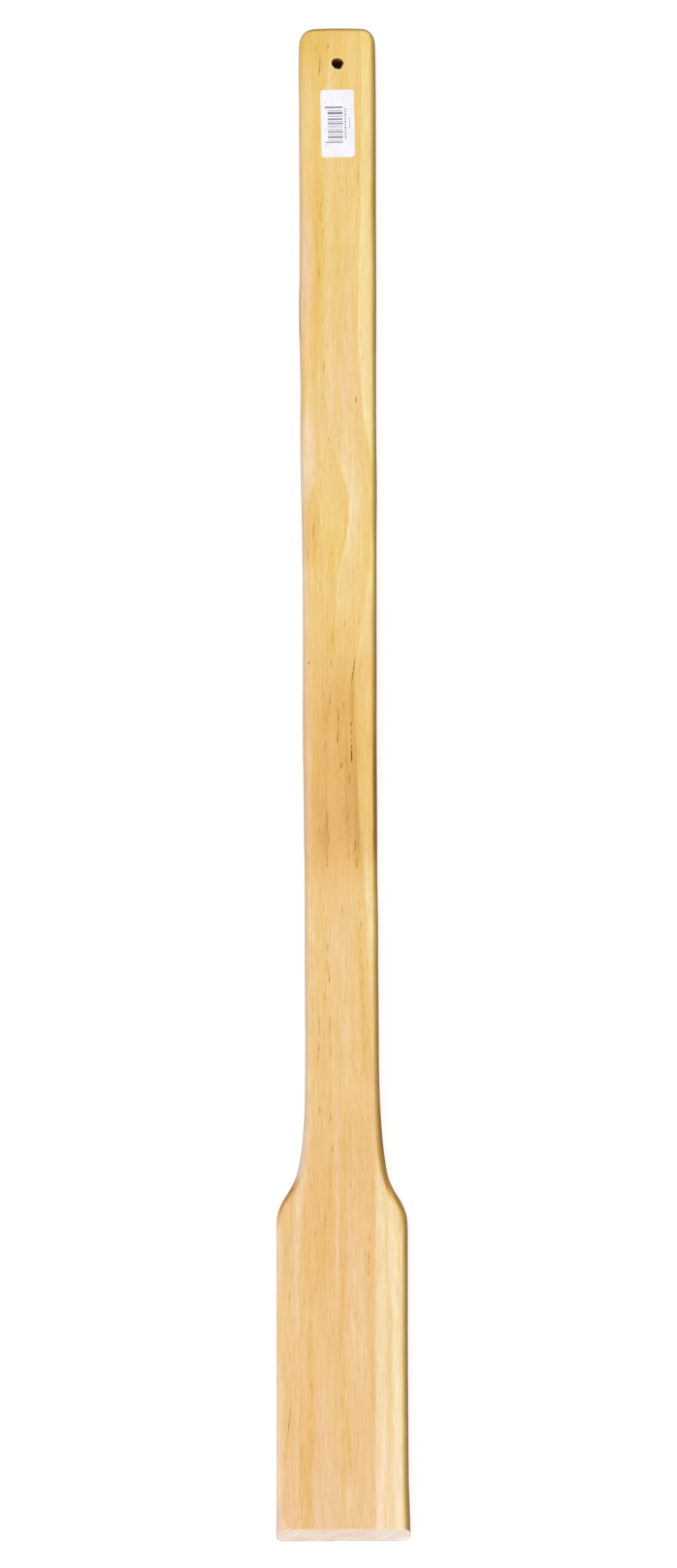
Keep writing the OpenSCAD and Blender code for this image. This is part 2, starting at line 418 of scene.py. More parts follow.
# ------------------------------------------------------------------ figure of the wood
# Strokes laid along the grain. Each one: kind, tone, reach across, warmth, and its stations
# (photo row, photo column, strength). Kind G is even, L and R are sharp on one side and fade to
# the left or right of their line, which a last number makes softer. Tone is from -3, nearly black, to 1.5, nearly white.
BASE = [(20, -0.62, 0.95), (45, -0.5, 0.9), (80, -0.24, 0.85), (140, -0.1, 0.74), (260, -0.1, 0.74), (340, -0.04, 0.62),
        (410, 0.04, 0.5), (465, 0.04, 0.58), (515, -0.06, 0.8), (565, -0.16, 0.88), (615, -0.1, 0.78), (660, -0.22, 0.58),
        (710, -0.56, 0.2), (770, -0.76, 0.02), (850, -0.86, -0.22), (885, -0.72, -0.1), (905, -0.42, 0.0), (930, -0.17, 0.16),
        (1000, -0.14, 0.13), (1130, -0.16, 0.07), (1200, -0.27, -0.14), (1280, -0.18, -0.12), (1405, -0.16, -0.1),
        (1475, -0.16, -0.2), (1545, 0.0, -0.32), (1600, 0.02, -0.32)]
STROKES = [
    # handle, above the flame
    ("G", -0.50, 5.2, 0.10, [(30, 331, 0.2), (60, 330.5, 0.7), (90, 329.5, 0.6), (160, 328, 0.5), (215, 329, 0.8), (260, 327.8, 0.85), (340, 328.3, 1.15), (395, 328.5, 0.6), (430, 328, 0)]),
    ("G", -0.12, 2.4, 0.0, [(230, 322, 0), (300, 322.5, 1), (380, 321.5, 1), (410, 321, 0)]),
    ("R", 0.50, 18, 0.55, [(20, 371, 1.0), (36, 373, 1.3), (50, 373.5, 1.35), (90, 374.3, 1.4), (130, 373.5, 1.15), (170, 372.8, 1.05), (215, 372.3, 1.15), (250, 371.5, 1.25), (290, 371, 1.2), (330, 370.3, 1.0), (370, 370.8, 1.05), (410, 374, 1.2), (435, 376.5, 1.4), (452, 379, 1.3), (470, 382, 0.8), (484, 385, 0.1), (490, 386, 0)], 1.5),
    ("L", -0.16, 5, 0.2, [(90, 372, 0), (170, 371, 1), (260, 369.5, 1), (340, 368, 0.7), (380, 369, 0)]),
    ("G", 0.12, 4.5, -0.5, [(190, 315, 0), (235, 316.2, 2.2), (285, 317.6, 4.4), (308, 317.6, 3.0), (335, 317, 0.9), (370, 317.5, 1.0), (400, 317, 0)]),
    ("G", -0.50, 2.3, 0.0, [(338, 314, 0), (368, 314.5, 0.7), (408, 313.6, 1), (448, 313, 1.1), (468, 313, 0.5), (482, 313, 0)]),
    ("G", 0.40, 2.6, 0.1, [(36, 344.5, 0.3), (44, 344, 0.8), (54, 342.5, 0.8), (60, 341.5, 0)]),
    ("G", 0.42, 3.6, -0.05, [(58, 341.5, 0), (75, 341, 1), (92, 340.5, 1), (130, 340, 0.5), (300, 340.5, 0.35), (430, 341, 0.4), (455, 341, 0)]),
    ("G", -0.14, 4.0, 0.1, [(60, 350, 0.3), (90, 350, 0.8), (190, 349.5, 0.6), (270, 348.5, 1), (320, 350, 0.8), (370, 351, 0.5), (410, 351, 0)]),
    ("G", 0.50, 8.5, 0.25, [(28, 363, 0.3), (36, 363, 1), (50, 363, 1.1), (70, 364, 0.7), (88, 366, 0.5), (110, 366, 0)]),
    ("G", -0.20, 7.0, 0.0, [(28, 320, 1), (60, 320, 1), (85, 320, 0.2), (95, 320, 0)]),
    ("G", -0.50, 2.4, 0.0, [(34, 310, 0), (46, 310.5, 1), (85, 310.8, 1), (105, 310.8, 0.2), (115, 311, 0)]),
    ("G", 0.12, 5.5, -0.5, [(230, 358, 0), (330, 359, 1), (400, 357, 1), (450, 357, 0)]),
    ("G", 0.10, 5.0, -0.1, [(110, 314, 0.5), (150, 315, 1), (230, 316, 0)]),
    # flame
    ("G", 0.72, 8.5, -0.65, [(415, 313, 0), (445, 316, 0.85), (470, 317, 0.85), (490, 317.5, 0.6), (515, 315.5, 0.2), (530, 315, 0)]),
    ("G", 0.20, 6, -0.1, [(432, 352, 0), (455, 355, 0.8), (475, 358, 1), (495, 364, 0.5), (520, 368, 0)]),
    ("L", -0.42, 5.5, 0.0, [(464, 343.5, 0), (471, 346.5, 0.5), (482, 351.5, 0.8), (494, 355.6, 1), (508, 358.6, 1.1), (523, 360, 1.25), (538, 360, 1.2), (552, 358.7, 1.1), (564, 356.5, 1), (576, 353.2, 1), (590, 350.2, 0.8), (605, 348.4, 0.75), (625, 346.9, 0.8), (645, 345.8, 0.8), (662, 345.2, 0.5), (680, 345, 0)]),
    ("R", 0.72, 14, -0.1, [(462, 343.5, 0), (470, 346.5, 0.35), (482, 351.5, 0.6), (494, 355.8, 0.9), (508, 359.2, 1.2), (523, 360.7, 1.3), (538, 360.6, 1.25), (552, 358.7, 1.05), (564, 356.5, 0.95), (576, 353.2, 0.85), (590, 350.2, 0.75), (605, 348.6, 0.65), (625, 347.4, 0.5), (645, 346.6, 0.15), (658, 346, 0)]),
    ("G", -0.14, 3.0, 0.05, [(452, 342, 0), (462, 342.3, 1), (476, 345, 1), (490, 347, 0.5), (505, 348, 0)]),
    ("L", -0.26, 9, -0.1, [(498, 318, 0), (508, 323, 0.5), (518, 327.5, 0.9), (530, 329.8, 1), (545, 330.0, 1), (560, 329.0, 0.9), (574, 327, 0.6), (588, 325, 0)]),
    ("G", -0.26, 5.2, -0.2, [(505, 324, 0), (520, 323.5, 0.7), (540, 323.8, 1), (560, 324.6, 1.2), (575, 325, 0.6), (590, 325, 0)]),
    ("G", -0.16, 2.6, 0.1, [(498, 322, 0), (512, 326, 0.8), (528, 329.3, 1), (545, 329.6, 0.6), (565, 328, 0.3), (580, 327, 0)]),
    ("G", 0.40, 1.9, 0.1, [(512, 329, 0), (524, 331.8, 0.9), (540, 332.4, 1), (554, 331.8, 0.6), (568, 330, 0)]),
    ("G", -0.36, 2.4, -0.35, [(512, 315.8, 0), (535, 316.4, 0.9), (560, 317, 1.1), (580, 317, 0.9), (602, 316.5, 0)]),
    ("G", 0.50, 1.5, -0.3, [(495, 312.6, 0), (515, 313.2, 0.8), (545, 313.6, 1), (575, 314, 1), (600, 314.2, 0.5), (615, 314.4, 0)]),
    ("G", 0.05, 5.0, -0.55, [(470, 316, 0), (500, 317, 1), (560, 318, 1), (600, 318, 0.6), (640, 318, 0)]),
    ("G", 0.10, 5.0, 0.2, [(505, 337, 0), (530, 337, 1), (560, 337.5, 0.9), (580, 338, 0)]),
    ("G", -0.20, 4.5, 0.15, [(545, 345, 0), (560, 345, 1), (585, 344, 0.6), (600, 343, 0)]),
    ("G", -0.19, 5.5, 0.2, [(455, 384, 0.2), (490, 383, 0.8), (520, 382.5, 1), (550, 381.5, 1), (575, 378.5, 0.8), (600, 373.5, 0.8), (625, 371, 0.9), (645, 369, 0.6), (665, 367, 0)]),
    ("G", -0.34, 2.6, -0.6, [(478, 385.5, 0), (492, 385.2, 1), (510, 385.2, 0.5), (530, 385, 1), (548, 385, 0.6), (560, 385, 0)]),
    ("R", 0.36, 9, 0.28, [(572, 385, 0), (590, 382, 0.5), (610, 378.8, 0.9), (625, 377, 1), (640, 374.8, 1), (660, 371.7, 1), (680, 369.2, 0.8), (695, 367.8, 0.3), (700, 367.3, 0)]),
    ("G", -0.24, 5.0, 0.25, [(645, 342, 0), (658, 341.8, 1), (668, 341.5, 0.8), (685, 341, 0)]),
    ("G", -0.30, 9.0, 0.0, [(672, 353, 0), (695, 353, 0.4), (712, 353, 1), (735, 353, 0.8), (762, 353, 0.15), (772, 353, 0)]),
    ("G", -0.22, 7.0, 0.0, [(722, 338, 0), (732, 338, 1), (748, 338, 0.6), (765, 337, 0)]),
    ("G", -0.42, 2.4, 0.3, [(690, 364.5, 0), (705, 364.2, 0.8), (722, 364, 1), (742, 364, 0.5), (758, 364.5, 0)]),
    ("G", -0.09, 4.0, 0.1, [(738, 356, 0), (765, 356, 1), (800, 356, 1), (850, 357, 0.6), (885, 359, 0.3), (900, 360, 0)]),
    ("G", 0.36, 3.4, 0.2, [(698, 382, 0), (710, 381.6, 1), (728, 381, 0.9), (748, 382, 0.3), (760, 382, 0)]),
    # brown stretch and the line between heartwood and sapwood
    ("R", 0.52, 60, 0.8, [(672, 370.5, 0), (700, 369.2, 0.4), (720, 368.8, 0.6), (760, 369.8, 0.85), (800, 371.2, 0.9), (840, 372.4, 1), (870, 373.8, 0.95), (900, 375.8, 0.5), (925, 377, 0.1), (940, 378, 0)], 3.2),
    ("L", -0.36, 5.5, 0.4, [(690, 367.6, 0), (715, 367.2, 0.3), (745, 367.3, 0.6), (790, 368.8, 0.8), (840, 370.6, 1.2), (862, 371.8, 1.2), (882, 373, 1.2), (897, 374.5, 1.0), (910, 376, 0)], 1.3),
    ("G", 0.46, 5.0, 0.0, [(680, 316, 0), (705, 317, 0.5), (745, 317.8, 0.8), (800, 318.2, 0.9), (860, 318.6, 0.85), (892, 319, 0.5), (915, 319, 0)]),
    ("G", 0.34, 2.2, -0.2, [(738, 320.3, 0), (760, 320.4, 0.8), (800, 320.6, 1), (850, 320.2, 0.7), (875, 320.2, 0.7), (890, 320, 0)]),
    ("G", 0.16, 3.0, 0.1, [(700, 325, 0.6), (740, 324.5, 0.9), (790, 324, 0.4), (830, 324, 0)]),
    ("G", 0.12, 5.0, 0.25, [(785, 333, 0), (805, 333, 1), (850, 333, 0.7), (870, 332, 0)]),
    ("G", -0.10, 2.6, 0.0, [(735, 336, 0), (780, 336.5, 0.8), (850, 336.6, 0.6), (878, 338, 1.6), (895, 338, 0.6), (910, 337, 0)]),
    ("G", 0.18, 5.5, -0.1, [(780, 343, 0), (820, 345, 0.8), (860, 346, 0.7), (885, 347, 0.3), (930, 347, 0)]),
    ("G", 0.16, 4.5, -0.05, [(700, 336, 0), (730, 341, 0.4), (770, 341, 0.5), (800, 342, 0)]),
        ("R", 0.66, 30, 0.75, [(880, 377.5, 0), (895, 377.5, 0.6), (915, 377, 0.8), (935, 378.6, 1.1), (960, 380, 1.1), (985, 381, 1), (1010, 381.6, 0.7), (1030, 381.6, 0.3), (1050, 382, 0)], 1.8),
    ("G", 0.16, 3.0, 0.1, [(902, 320.5, 0), (918, 320.5, 1), (945, 321, 0.8), (975, 322, 0.7), (1005, 321.5, 0.7), (1020, 321, 0)]),
    ("G", 0.30, 2.0, 0.2, [(1068, 316.6, 0), (1090, 316.8, 0.7), (1120, 316.8, 0.9), (1150, 316, 0.6), (1180, 314.2, 1.2), (1196, 312.5, 0.6), (1205, 311.5, 0)]),
    ("G", 0.05, 5.0, 0.5, [(940, 377, 0), (965, 377, 1), (1000, 378, 1), (1030, 380, 0)]),
    # lower handle
    ("G", 0.20, 4.5, -0.15, [(925, 346, 0), (965, 346, 1), (1040, 346.5, 0.7), (1120, 347.5, 0.6), (1180, 348, 1), (1300, 348, 1), (1345, 348, 0)]),
    ("G", 0.14, 4.0, 0.0, [(905, 319.5, 0), (940, 319.5, 0.1), (1000, 320, 0.3), (1060, 320, 0.8), (1140, 320, 1), (1165, 319, 0.4), (1180, 318, 0)]),
    ("G", -0.17, 2.4, 0.05, [(965, 336, 0), (1000, 336, 1), (1035, 336, 0.6), (1080, 338, 0.4), (1160, 341, 0.6), (1195, 342, 1), (1225, 342, 0.8), (1250, 341, 0)]),
    ("G", -0.12, 5.0, 0.0, [(1030, 328, 0), (1070, 327.5, 1), (1150, 327, 1), (1170, 327, 0)]),
    ("G", -0.34, 3.6, -0.05, [(915, 371, 0), (950, 371, 0.5), (985, 372.6, 1), (1040, 374.6, 1), (1090, 375.5, 0.9), (1120, 375.5, 0.4), (1155, 375, 0.4), (1180, 375.5, 0.7), (1205, 376, 0.3), (1230, 378, 0)]),
    ("G", -0.12, 4.0, 0.3, [(1030, 381, 0), (1060, 381, 1), (1095, 381.5, 0.9), (1110, 382, 0)]),
    ("G", -0.22, 9.0, 0.0, [(1160, 333, 0), (1178, 333, 1), (1200, 332, 0.3), (1215, 332, 0)]),
    ("G", -0.30, 5.0, 0.1, [(1192, 342, 0), (1212, 342, 1), (1250, 341.5, 1), (1290, 340, 1), (1318, 338, 0.6), (1345, 336, 0)]),
    ("G", 0.14, 4.5, -0.1, [(1040, 358, 0), (1075, 358.5, 1), (1120, 361, 0.7), (1150, 364, 0.7), (1180, 366, 1.1), (1240, 363, 1.2), (1300, 362, 1.4), (1370, 363, 1.4), (1410, 366, 1), (1450, 370, 1), (1500, 371, 0.8), (1580, 370, 0.5)]),
    ("G", -0.30, 2.6, 0.0, [(1133, 356.5, 0), (1150, 356.3, 1), (1180, 355.2, 1.1), (1215, 354.5, 0.8), (1250, 355.2, 1.1), (1290, 355, 0.7), (1330, 356, 1.1), (1368, 352.5, 0.9), (1392, 354, 0.6), (1412, 356, 0.9), (1450, 356, 0.5), (1465, 357, 0)]),
    # neck and blade
    ("G", 0.58, 4.2, -0.1, [(1170, 317, 0), (1190, 315.3, 0.7), (1215, 312.6, 1.5), (1250, 309.4, 1.45), (1290, 307, 1.2), (1330, 306.6, 0.95), (1370, 307.2, 0.8), (1392, 307.6, 0.4), (1415, 308, 0.2), (1440, 308, 0)]),
    ("R", -0.22, 5.0, 0.15, [(1195, 318.8, 0), (1215, 317, 0.6), (1245, 314, 1), (1275, 311.6, 0.9), (1300, 310.5, 0.5), (1335, 310, 0)]),
    ("G", 0.36, 3.4, -0.2, [(1258, 290, 0), (1280, 290.5, 1.6), (1320, 291, 1.4), (1345, 291.5, 0.4), (1365, 292, 0), (1400, 289.5, 0), (1425, 291.8, 0.4), (1450, 292.4, 0.8), (1490, 292, 0.9), (1530, 291.4, 1.1), (1555, 291, 0.6), (1580, 291, 0.4)]),
    ("G", 0.10, 5.0, -0.3, [(1505, 300, 0), (1535, 300, 0.8), (1580, 300, 1)]),
    ("L", -0.30, 30, 0.0, [(1398, 289.4, 0), (1425, 289.6, 0.8), (1490, 289.8, 1), (1515, 289.8, 0)]),
    ("G", -0.22, 9.0, 0.0, [(1190, 332, 0.2), (1240, 331, 0.9), (1290, 332, 1), (1340, 330, 0.7), (1375, 326, 0.3), (1400, 322, 0)]),
    ("G", -0.26, 5.6, 0.15, [(1345, 320, 0), (1385, 321, 0.5), (1440, 320.5, 1), (1475, 319.5, 1.2), (1500, 318, 1.5), (1530, 316.8, 1.7), (1558, 318.5, 1.6), (1580, 317.5, 1.2)]),
    ("R", 0.20, 6, 0.0, [(1432, 329, 0), (1450, 328.7, 1), (1490, 325.6, 1), (1530, 323, 1), (1556, 325, 0.9), (1585, 324.5, 0.6)]),
    ("G", 0.22, 8.0, -0.35, [(1410, 331, 0), (1460, 332, 0.5), (1520, 333, 0.8), (1580, 334, 1.1)]),
    ("G", -0.40, 3.6, 0.1, [(1440, 355, 0), (1456, 356.5, 0.3), (1475, 360, 0.9), (1492, 360.6, 1), (1515, 359.5, 0.9), (1531, 357.6, 0.8), (1546, 356, 0.4), (1558, 355, 0)]),
    ("G", -0.15, 3.5, -0.05, [(1195, 371.5, 0), (1225, 374, 0.8), (1250, 379.5, 0.9), (1290, 381, 1), (1330, 380.5, 0.5), (1360, 381, 0)]),
    ("G", -0.12, 2.6, 0.0, [(1420, 297, 0), (1450, 296.5, 1), (1500, 296, 1), (1530, 295.5, 0.3), (1545, 295, 0)]),
    ("G", -0.12, 2.4, 0.2, [(1300, 313, 0), (1340, 313, 0.9), (1380, 313, 0.4), (1400, 313, 0)]),
    ("R", 0.85, 90, 0.36, [(1165, 388.5, 0), (1185, 388.0, 0.4), (1215, 387.7, 0.9), (1260, 388.0, 1), (1400, 388.4, 1), (1510, 387.6, 1), (1550, 388.8, 1), (1600, 389.2, 1)], 1.5),
    ("G", -0.24, 1.8, 0.0, [(1258, 390, 0), (1285, 390, 1), (1370, 390.3, 1), (1420, 390, 0.6), (1580, 391, 0.5)]),
    ("G", 0.16, 2.8, 0.1, [(1215, 392, 0), (1260, 392.5, 1), (1350, 392.5, 1.2), (1420, 393, 0.8), (1460, 393, 0.1), (1580, 394, 0.2)]),
    ("G", -0.46, 2.4, 0.12, [(1215, 400, 0), (1250, 401.6, 0.5), (1288, 398.6, 0.6), (1330, 401.4, 0.9), (1370, 403, 1), (1410, 403.2, 1), (1450, 403.8, 0.9), (1490, 403.2, 0.85), (1530, 402.2, 0.7), (1560, 404.4, 0.9), (1600, 404.8, 0.8)]),
    ("G", -0.30, 1.5, 0.0, [(1385, 397.4, 0), (1408, 398, 1), (1428, 398.2, 0.5), (1445, 398, 0), (1545, 396.5, 0), (1562, 397, 0.9), (1585, 397.5, 0.8)]),
    ("G", 0.40, 5.6, 0.25, [(1218, 403, 0), (1250, 405.5, 1.1), (1290, 407.5, 1.1), (1330, 408.5, 1.15), (1400, 410, 1.1), (1470, 410, 1.1), (1530, 408.5, 0.9), (1600, 409.5, 0.7)]),
    ("G", 0.10, 2.4, 0.6, [(1270, 414, 0), (1300, 414, 1), (1470, 414.5, 1), (1600, 415.5, 0.8)]),
    # painted shade on the neck's right rounding and side, which turn away from the light: the next three strokes; the
    # fourth is a ring, made darker and wider as painted shade on the right shoulder's rounding
    ("R", -0.70, 26, 0.15, [(1120, 388.0, 0), (1150, 388.5, 0.5), (1186, 390.4, 1), (1196, 391.5, 1), (1208, 393.8, 1), (1220, 396.4, 1), (1230, 399.2, 0.8), (1240, 403, 0.4), (1252, 409, 0)]),
    ("G", -1.05, 1.3, 0.0, [(1176, 390.4, 0), (1186, 391.2, 0.5), (1196, 392.6, 0.6), (1208, 395.2, 0.5), (1216, 396.6, 0.9), (1224, 398.6, 1.2), (1230, 400.1, 1.3), (1237, 402.2, 0.8), (1244, 404.0, 0)]),
    ("G", -0.75, 4.0, 0.1, [(1150, 397, 0), (1180, 398.5, 1), (1196, 400, 1.1), (1212, 404, 0.8), (1228, 410, 0.3), (1236, 413, 0)]),
    ("G", -1.25, 2.6, 0.1, [(1232, 406.5, 0), (1239, 408.9, 0.8), (1246, 412.0, 1.1), (1255, 415.2, 0.8), (1264, 417, 0.3), (1272, 418, 0)]),
    ("R", 0.28, 30, 0.9, [(430, 383, 0), (470, 383, 1), (600, 382.5, 1), (640, 384, 0.4), (660, 385, 0)], 2.5),
    ("G", 0.20, 3.0, 0.5, [(583, 382, 0), (595, 381.5, 1), (606, 381, 1), (616, 379.5, 0.3), (622, 379, 0)]),
    ("R", 0.26, 9, 0.1, [(642, 372, 0), (655, 372.5, 1), (672, 371.5, 0.7), (690, 370, 0)], 1.5),
    ("G", 0.30, 5.0, -0.25, [(585, 315, 0), (612, 316.5, 1), (700, 317, 1), (860, 317.5, 1), (888, 317.5, 0.6), (905, 318, 0)]),
    ("G", 0.22, 10, -0.1, [(1270, 372, 0), (1300, 372, 1), (1400, 373, 1), (1440, 374, 0.4), (1470, 374, 0)]),
    ("G", 0.22, 3.6, 0.0, [(1095, 320, 0), (1115, 320, 1), (1150, 320, 0.6), (1180, 317.5, 1.1), (1195, 316, 0.4), (1205, 315, 0)]),
    ("G", 0.26, 2.4, 0.1, [(1160, 384.5, 0), (1178, 385.6, 1), (1192, 386.5, 0.8), (1205, 387, 0)]),
    ("R", -1.2, 40, 0.6, [(688, 385.5, 0), (720, 385.2, 0.3), (760, 385.2, 0.6), (800, 385.7, 1.1), (880, 386.5, 1.2), (915, 387, 0.4), (940, 387, 0)]),
    # rings that only the sides and the back show
    ("G", -0.40, 3.0, 0.05, [(0, 397, 1), (400, 399, 1), (900, 402, 1), (1600, 421, 1)]),
    ("G", -0.34, 4.0, 0.1, [(0, 406, 1), (500, 409, 1), (1000, 412, 1), (1600, 432, 1)]),
    ("G", -0.36, 3.4, 0.05, [(0, 416, 0.8), (700, 419, 1), (1600, 443, 1)]),
    ("G", -0.30, 3.0, 0.1, [(0, 426, 0.8), (1600, 453, 1)]),
]


def wood_tone(px, py):
    t, g = curve(BASE, py, 1), curve(BASE, py, 2)
    for form, tone, reach, warm, pts, *soft in STROKES:
        p = np.array(pts, float)
        soft = soft[0] if soft else 0.9
        on = (py >= p[0, 0]) & (py <= p[-1, 0])
        if not on.any():
            continue
        yy, xx = py[on], px[on]
        c = curve(pts, yy, 1)
        a = np.interp(yy, p[:, 0], p[:, 2])
        d = xx - c
        if form == "G":
            f = np.exp(-(d / reach) ** 2)
        elif form == "R":
            f = smooth((d + soft) / (2 * soft)) * np.exp(-np.maximum(d, 0) / reach)
        else:
            f = smooth((soft - d) / (2 * soft)) * np.exp(-np.maximum(-d, 0) / reach)
        t[on] += tone * a * f
        g[on] += warm * a * f
    return t, g


depth = TH - v[:, 2]
px, py = photo_px(v[:, 0], v[:, 1])
wander = 1.5 * waves(3, 0.006, 0.0, v[:, 1], 0) * smooth(depth / 12)
deep = np.maximum(depth - 0.3, 0)
tone, warm = wood_tone(px + 1.095 * deep + wander, np.clip(py + 2.4 * deep, 21, 1599))
# the brown stretch is weaker on the sides and the back
tone = tone + 0.75 * np.maximum(-0.8 - tone, 0) * smooth((depth - 7) / 6)
# the face is pale where it breaks over the sawn blade end, and round the hole's rim
lip = smooth((py - 1578.2) / 2.6) * smooth((3 - depth) / 2)
tone, warm = tone - 0.15 * lip, warm - 0.1 * lip
# painted light and shade: the left edge of the blade is painted pale where it catches the light (lift carries this to
# the shader), and the front of the left shoulder's rounding gets painted shade
painted_light_blade_l = smooth((py - 1256) / 14) * (kind == 2) * (v[:, 0] < 0)
off_flat = (1 - smooth((level - 0.72) / 0.26)) * (1 - smooth((depth - 9) / 4))
painted_shade_shoulder_l = smooth((py - 1214) / 14) * (1 - smooth((py - 1244) / 14)) * (kind == 2) * (v[:, 0] < 0) * off_flat
lift = painted_light_blade_l * smooth(level / 0.5) * smooth((v[:, 1] - 10) / 18)
tone = tone + 0.75 * painted_light_blade_l * smooth(level / 0.9) - 0.95 * painted_shade_shoulder_l * smooth(level / 0.4)
warm = warm - 0.5 * painted_shade_shoulder_l * smooth(level / 0.4)
# how pale the painted light makes the rounding of the handle's left edge: photo row, tone
PAINTED_LIGHT_RIM_L = [(20, 0.05), (280, 0.05), (320, 0.25), (380, 0.3), (440, -0.15), (495, 0.4), (530, 0.85), (580, 0.9), (620, 0.3), (680, 0.5),
         (740, 0.05), (860, 0.05), (920, 0.3), (1000, 0.35), (1080, 0.4), (1140, 0.3), (1180, 0.7), (1205, 0.3), (1230, 0)]
painted_light_rim_l = curve(PAINTED_LIGHT_RIM_L, py, 1) * (kind == 2) * (v[:, 0] < 0) * smooth(level / 0.5) * (0.3 + 0.7 * off_flat)
tone, warm = tone + painted_light_rim_l, warm - 0.12 * np.maximum(painted_light_rim_l, 0)
r_h, th_h = np.hypot(v[:, 0] - HOLE[0], v[:, 1] - HOLE[1]), np.arctan2(v[:, 1] - HOLE[1], v[:, 0] - HOLE[0])
# painted shade on the rounding of the handle's end, which faces away from the light
painted_shade_top_edge = smooth((v[:, 1] - (CORNER + 8)) / 5) * (kind == 2) * smooth(level / 0.3) * (0.3 + 0.7 * off_flat)
tone = tone - 0.45 * painted_shade_top_edge
halo = np.exp(-((r_h - HOLE[2] - 1.0) / 0.75) ** 2) * (0.55 + 0.45 * np.cos(th_h - 3.5)) * (depth < 1)
tone = tone + 0.75 * halo
# dark wood is the more even wood, and the figure is livelier on the blade and near the hole
amp = (1 - 0.5 * smooth((-0.25 - tone) / 0.5)) * (1 - 0.18 * (1 - smooth((py - 280) / 60)))
fig = 1 + 0.15 * (1 - smooth((py - 400) / 60)) + 0.4 * smooth((py - 1200) / 60)

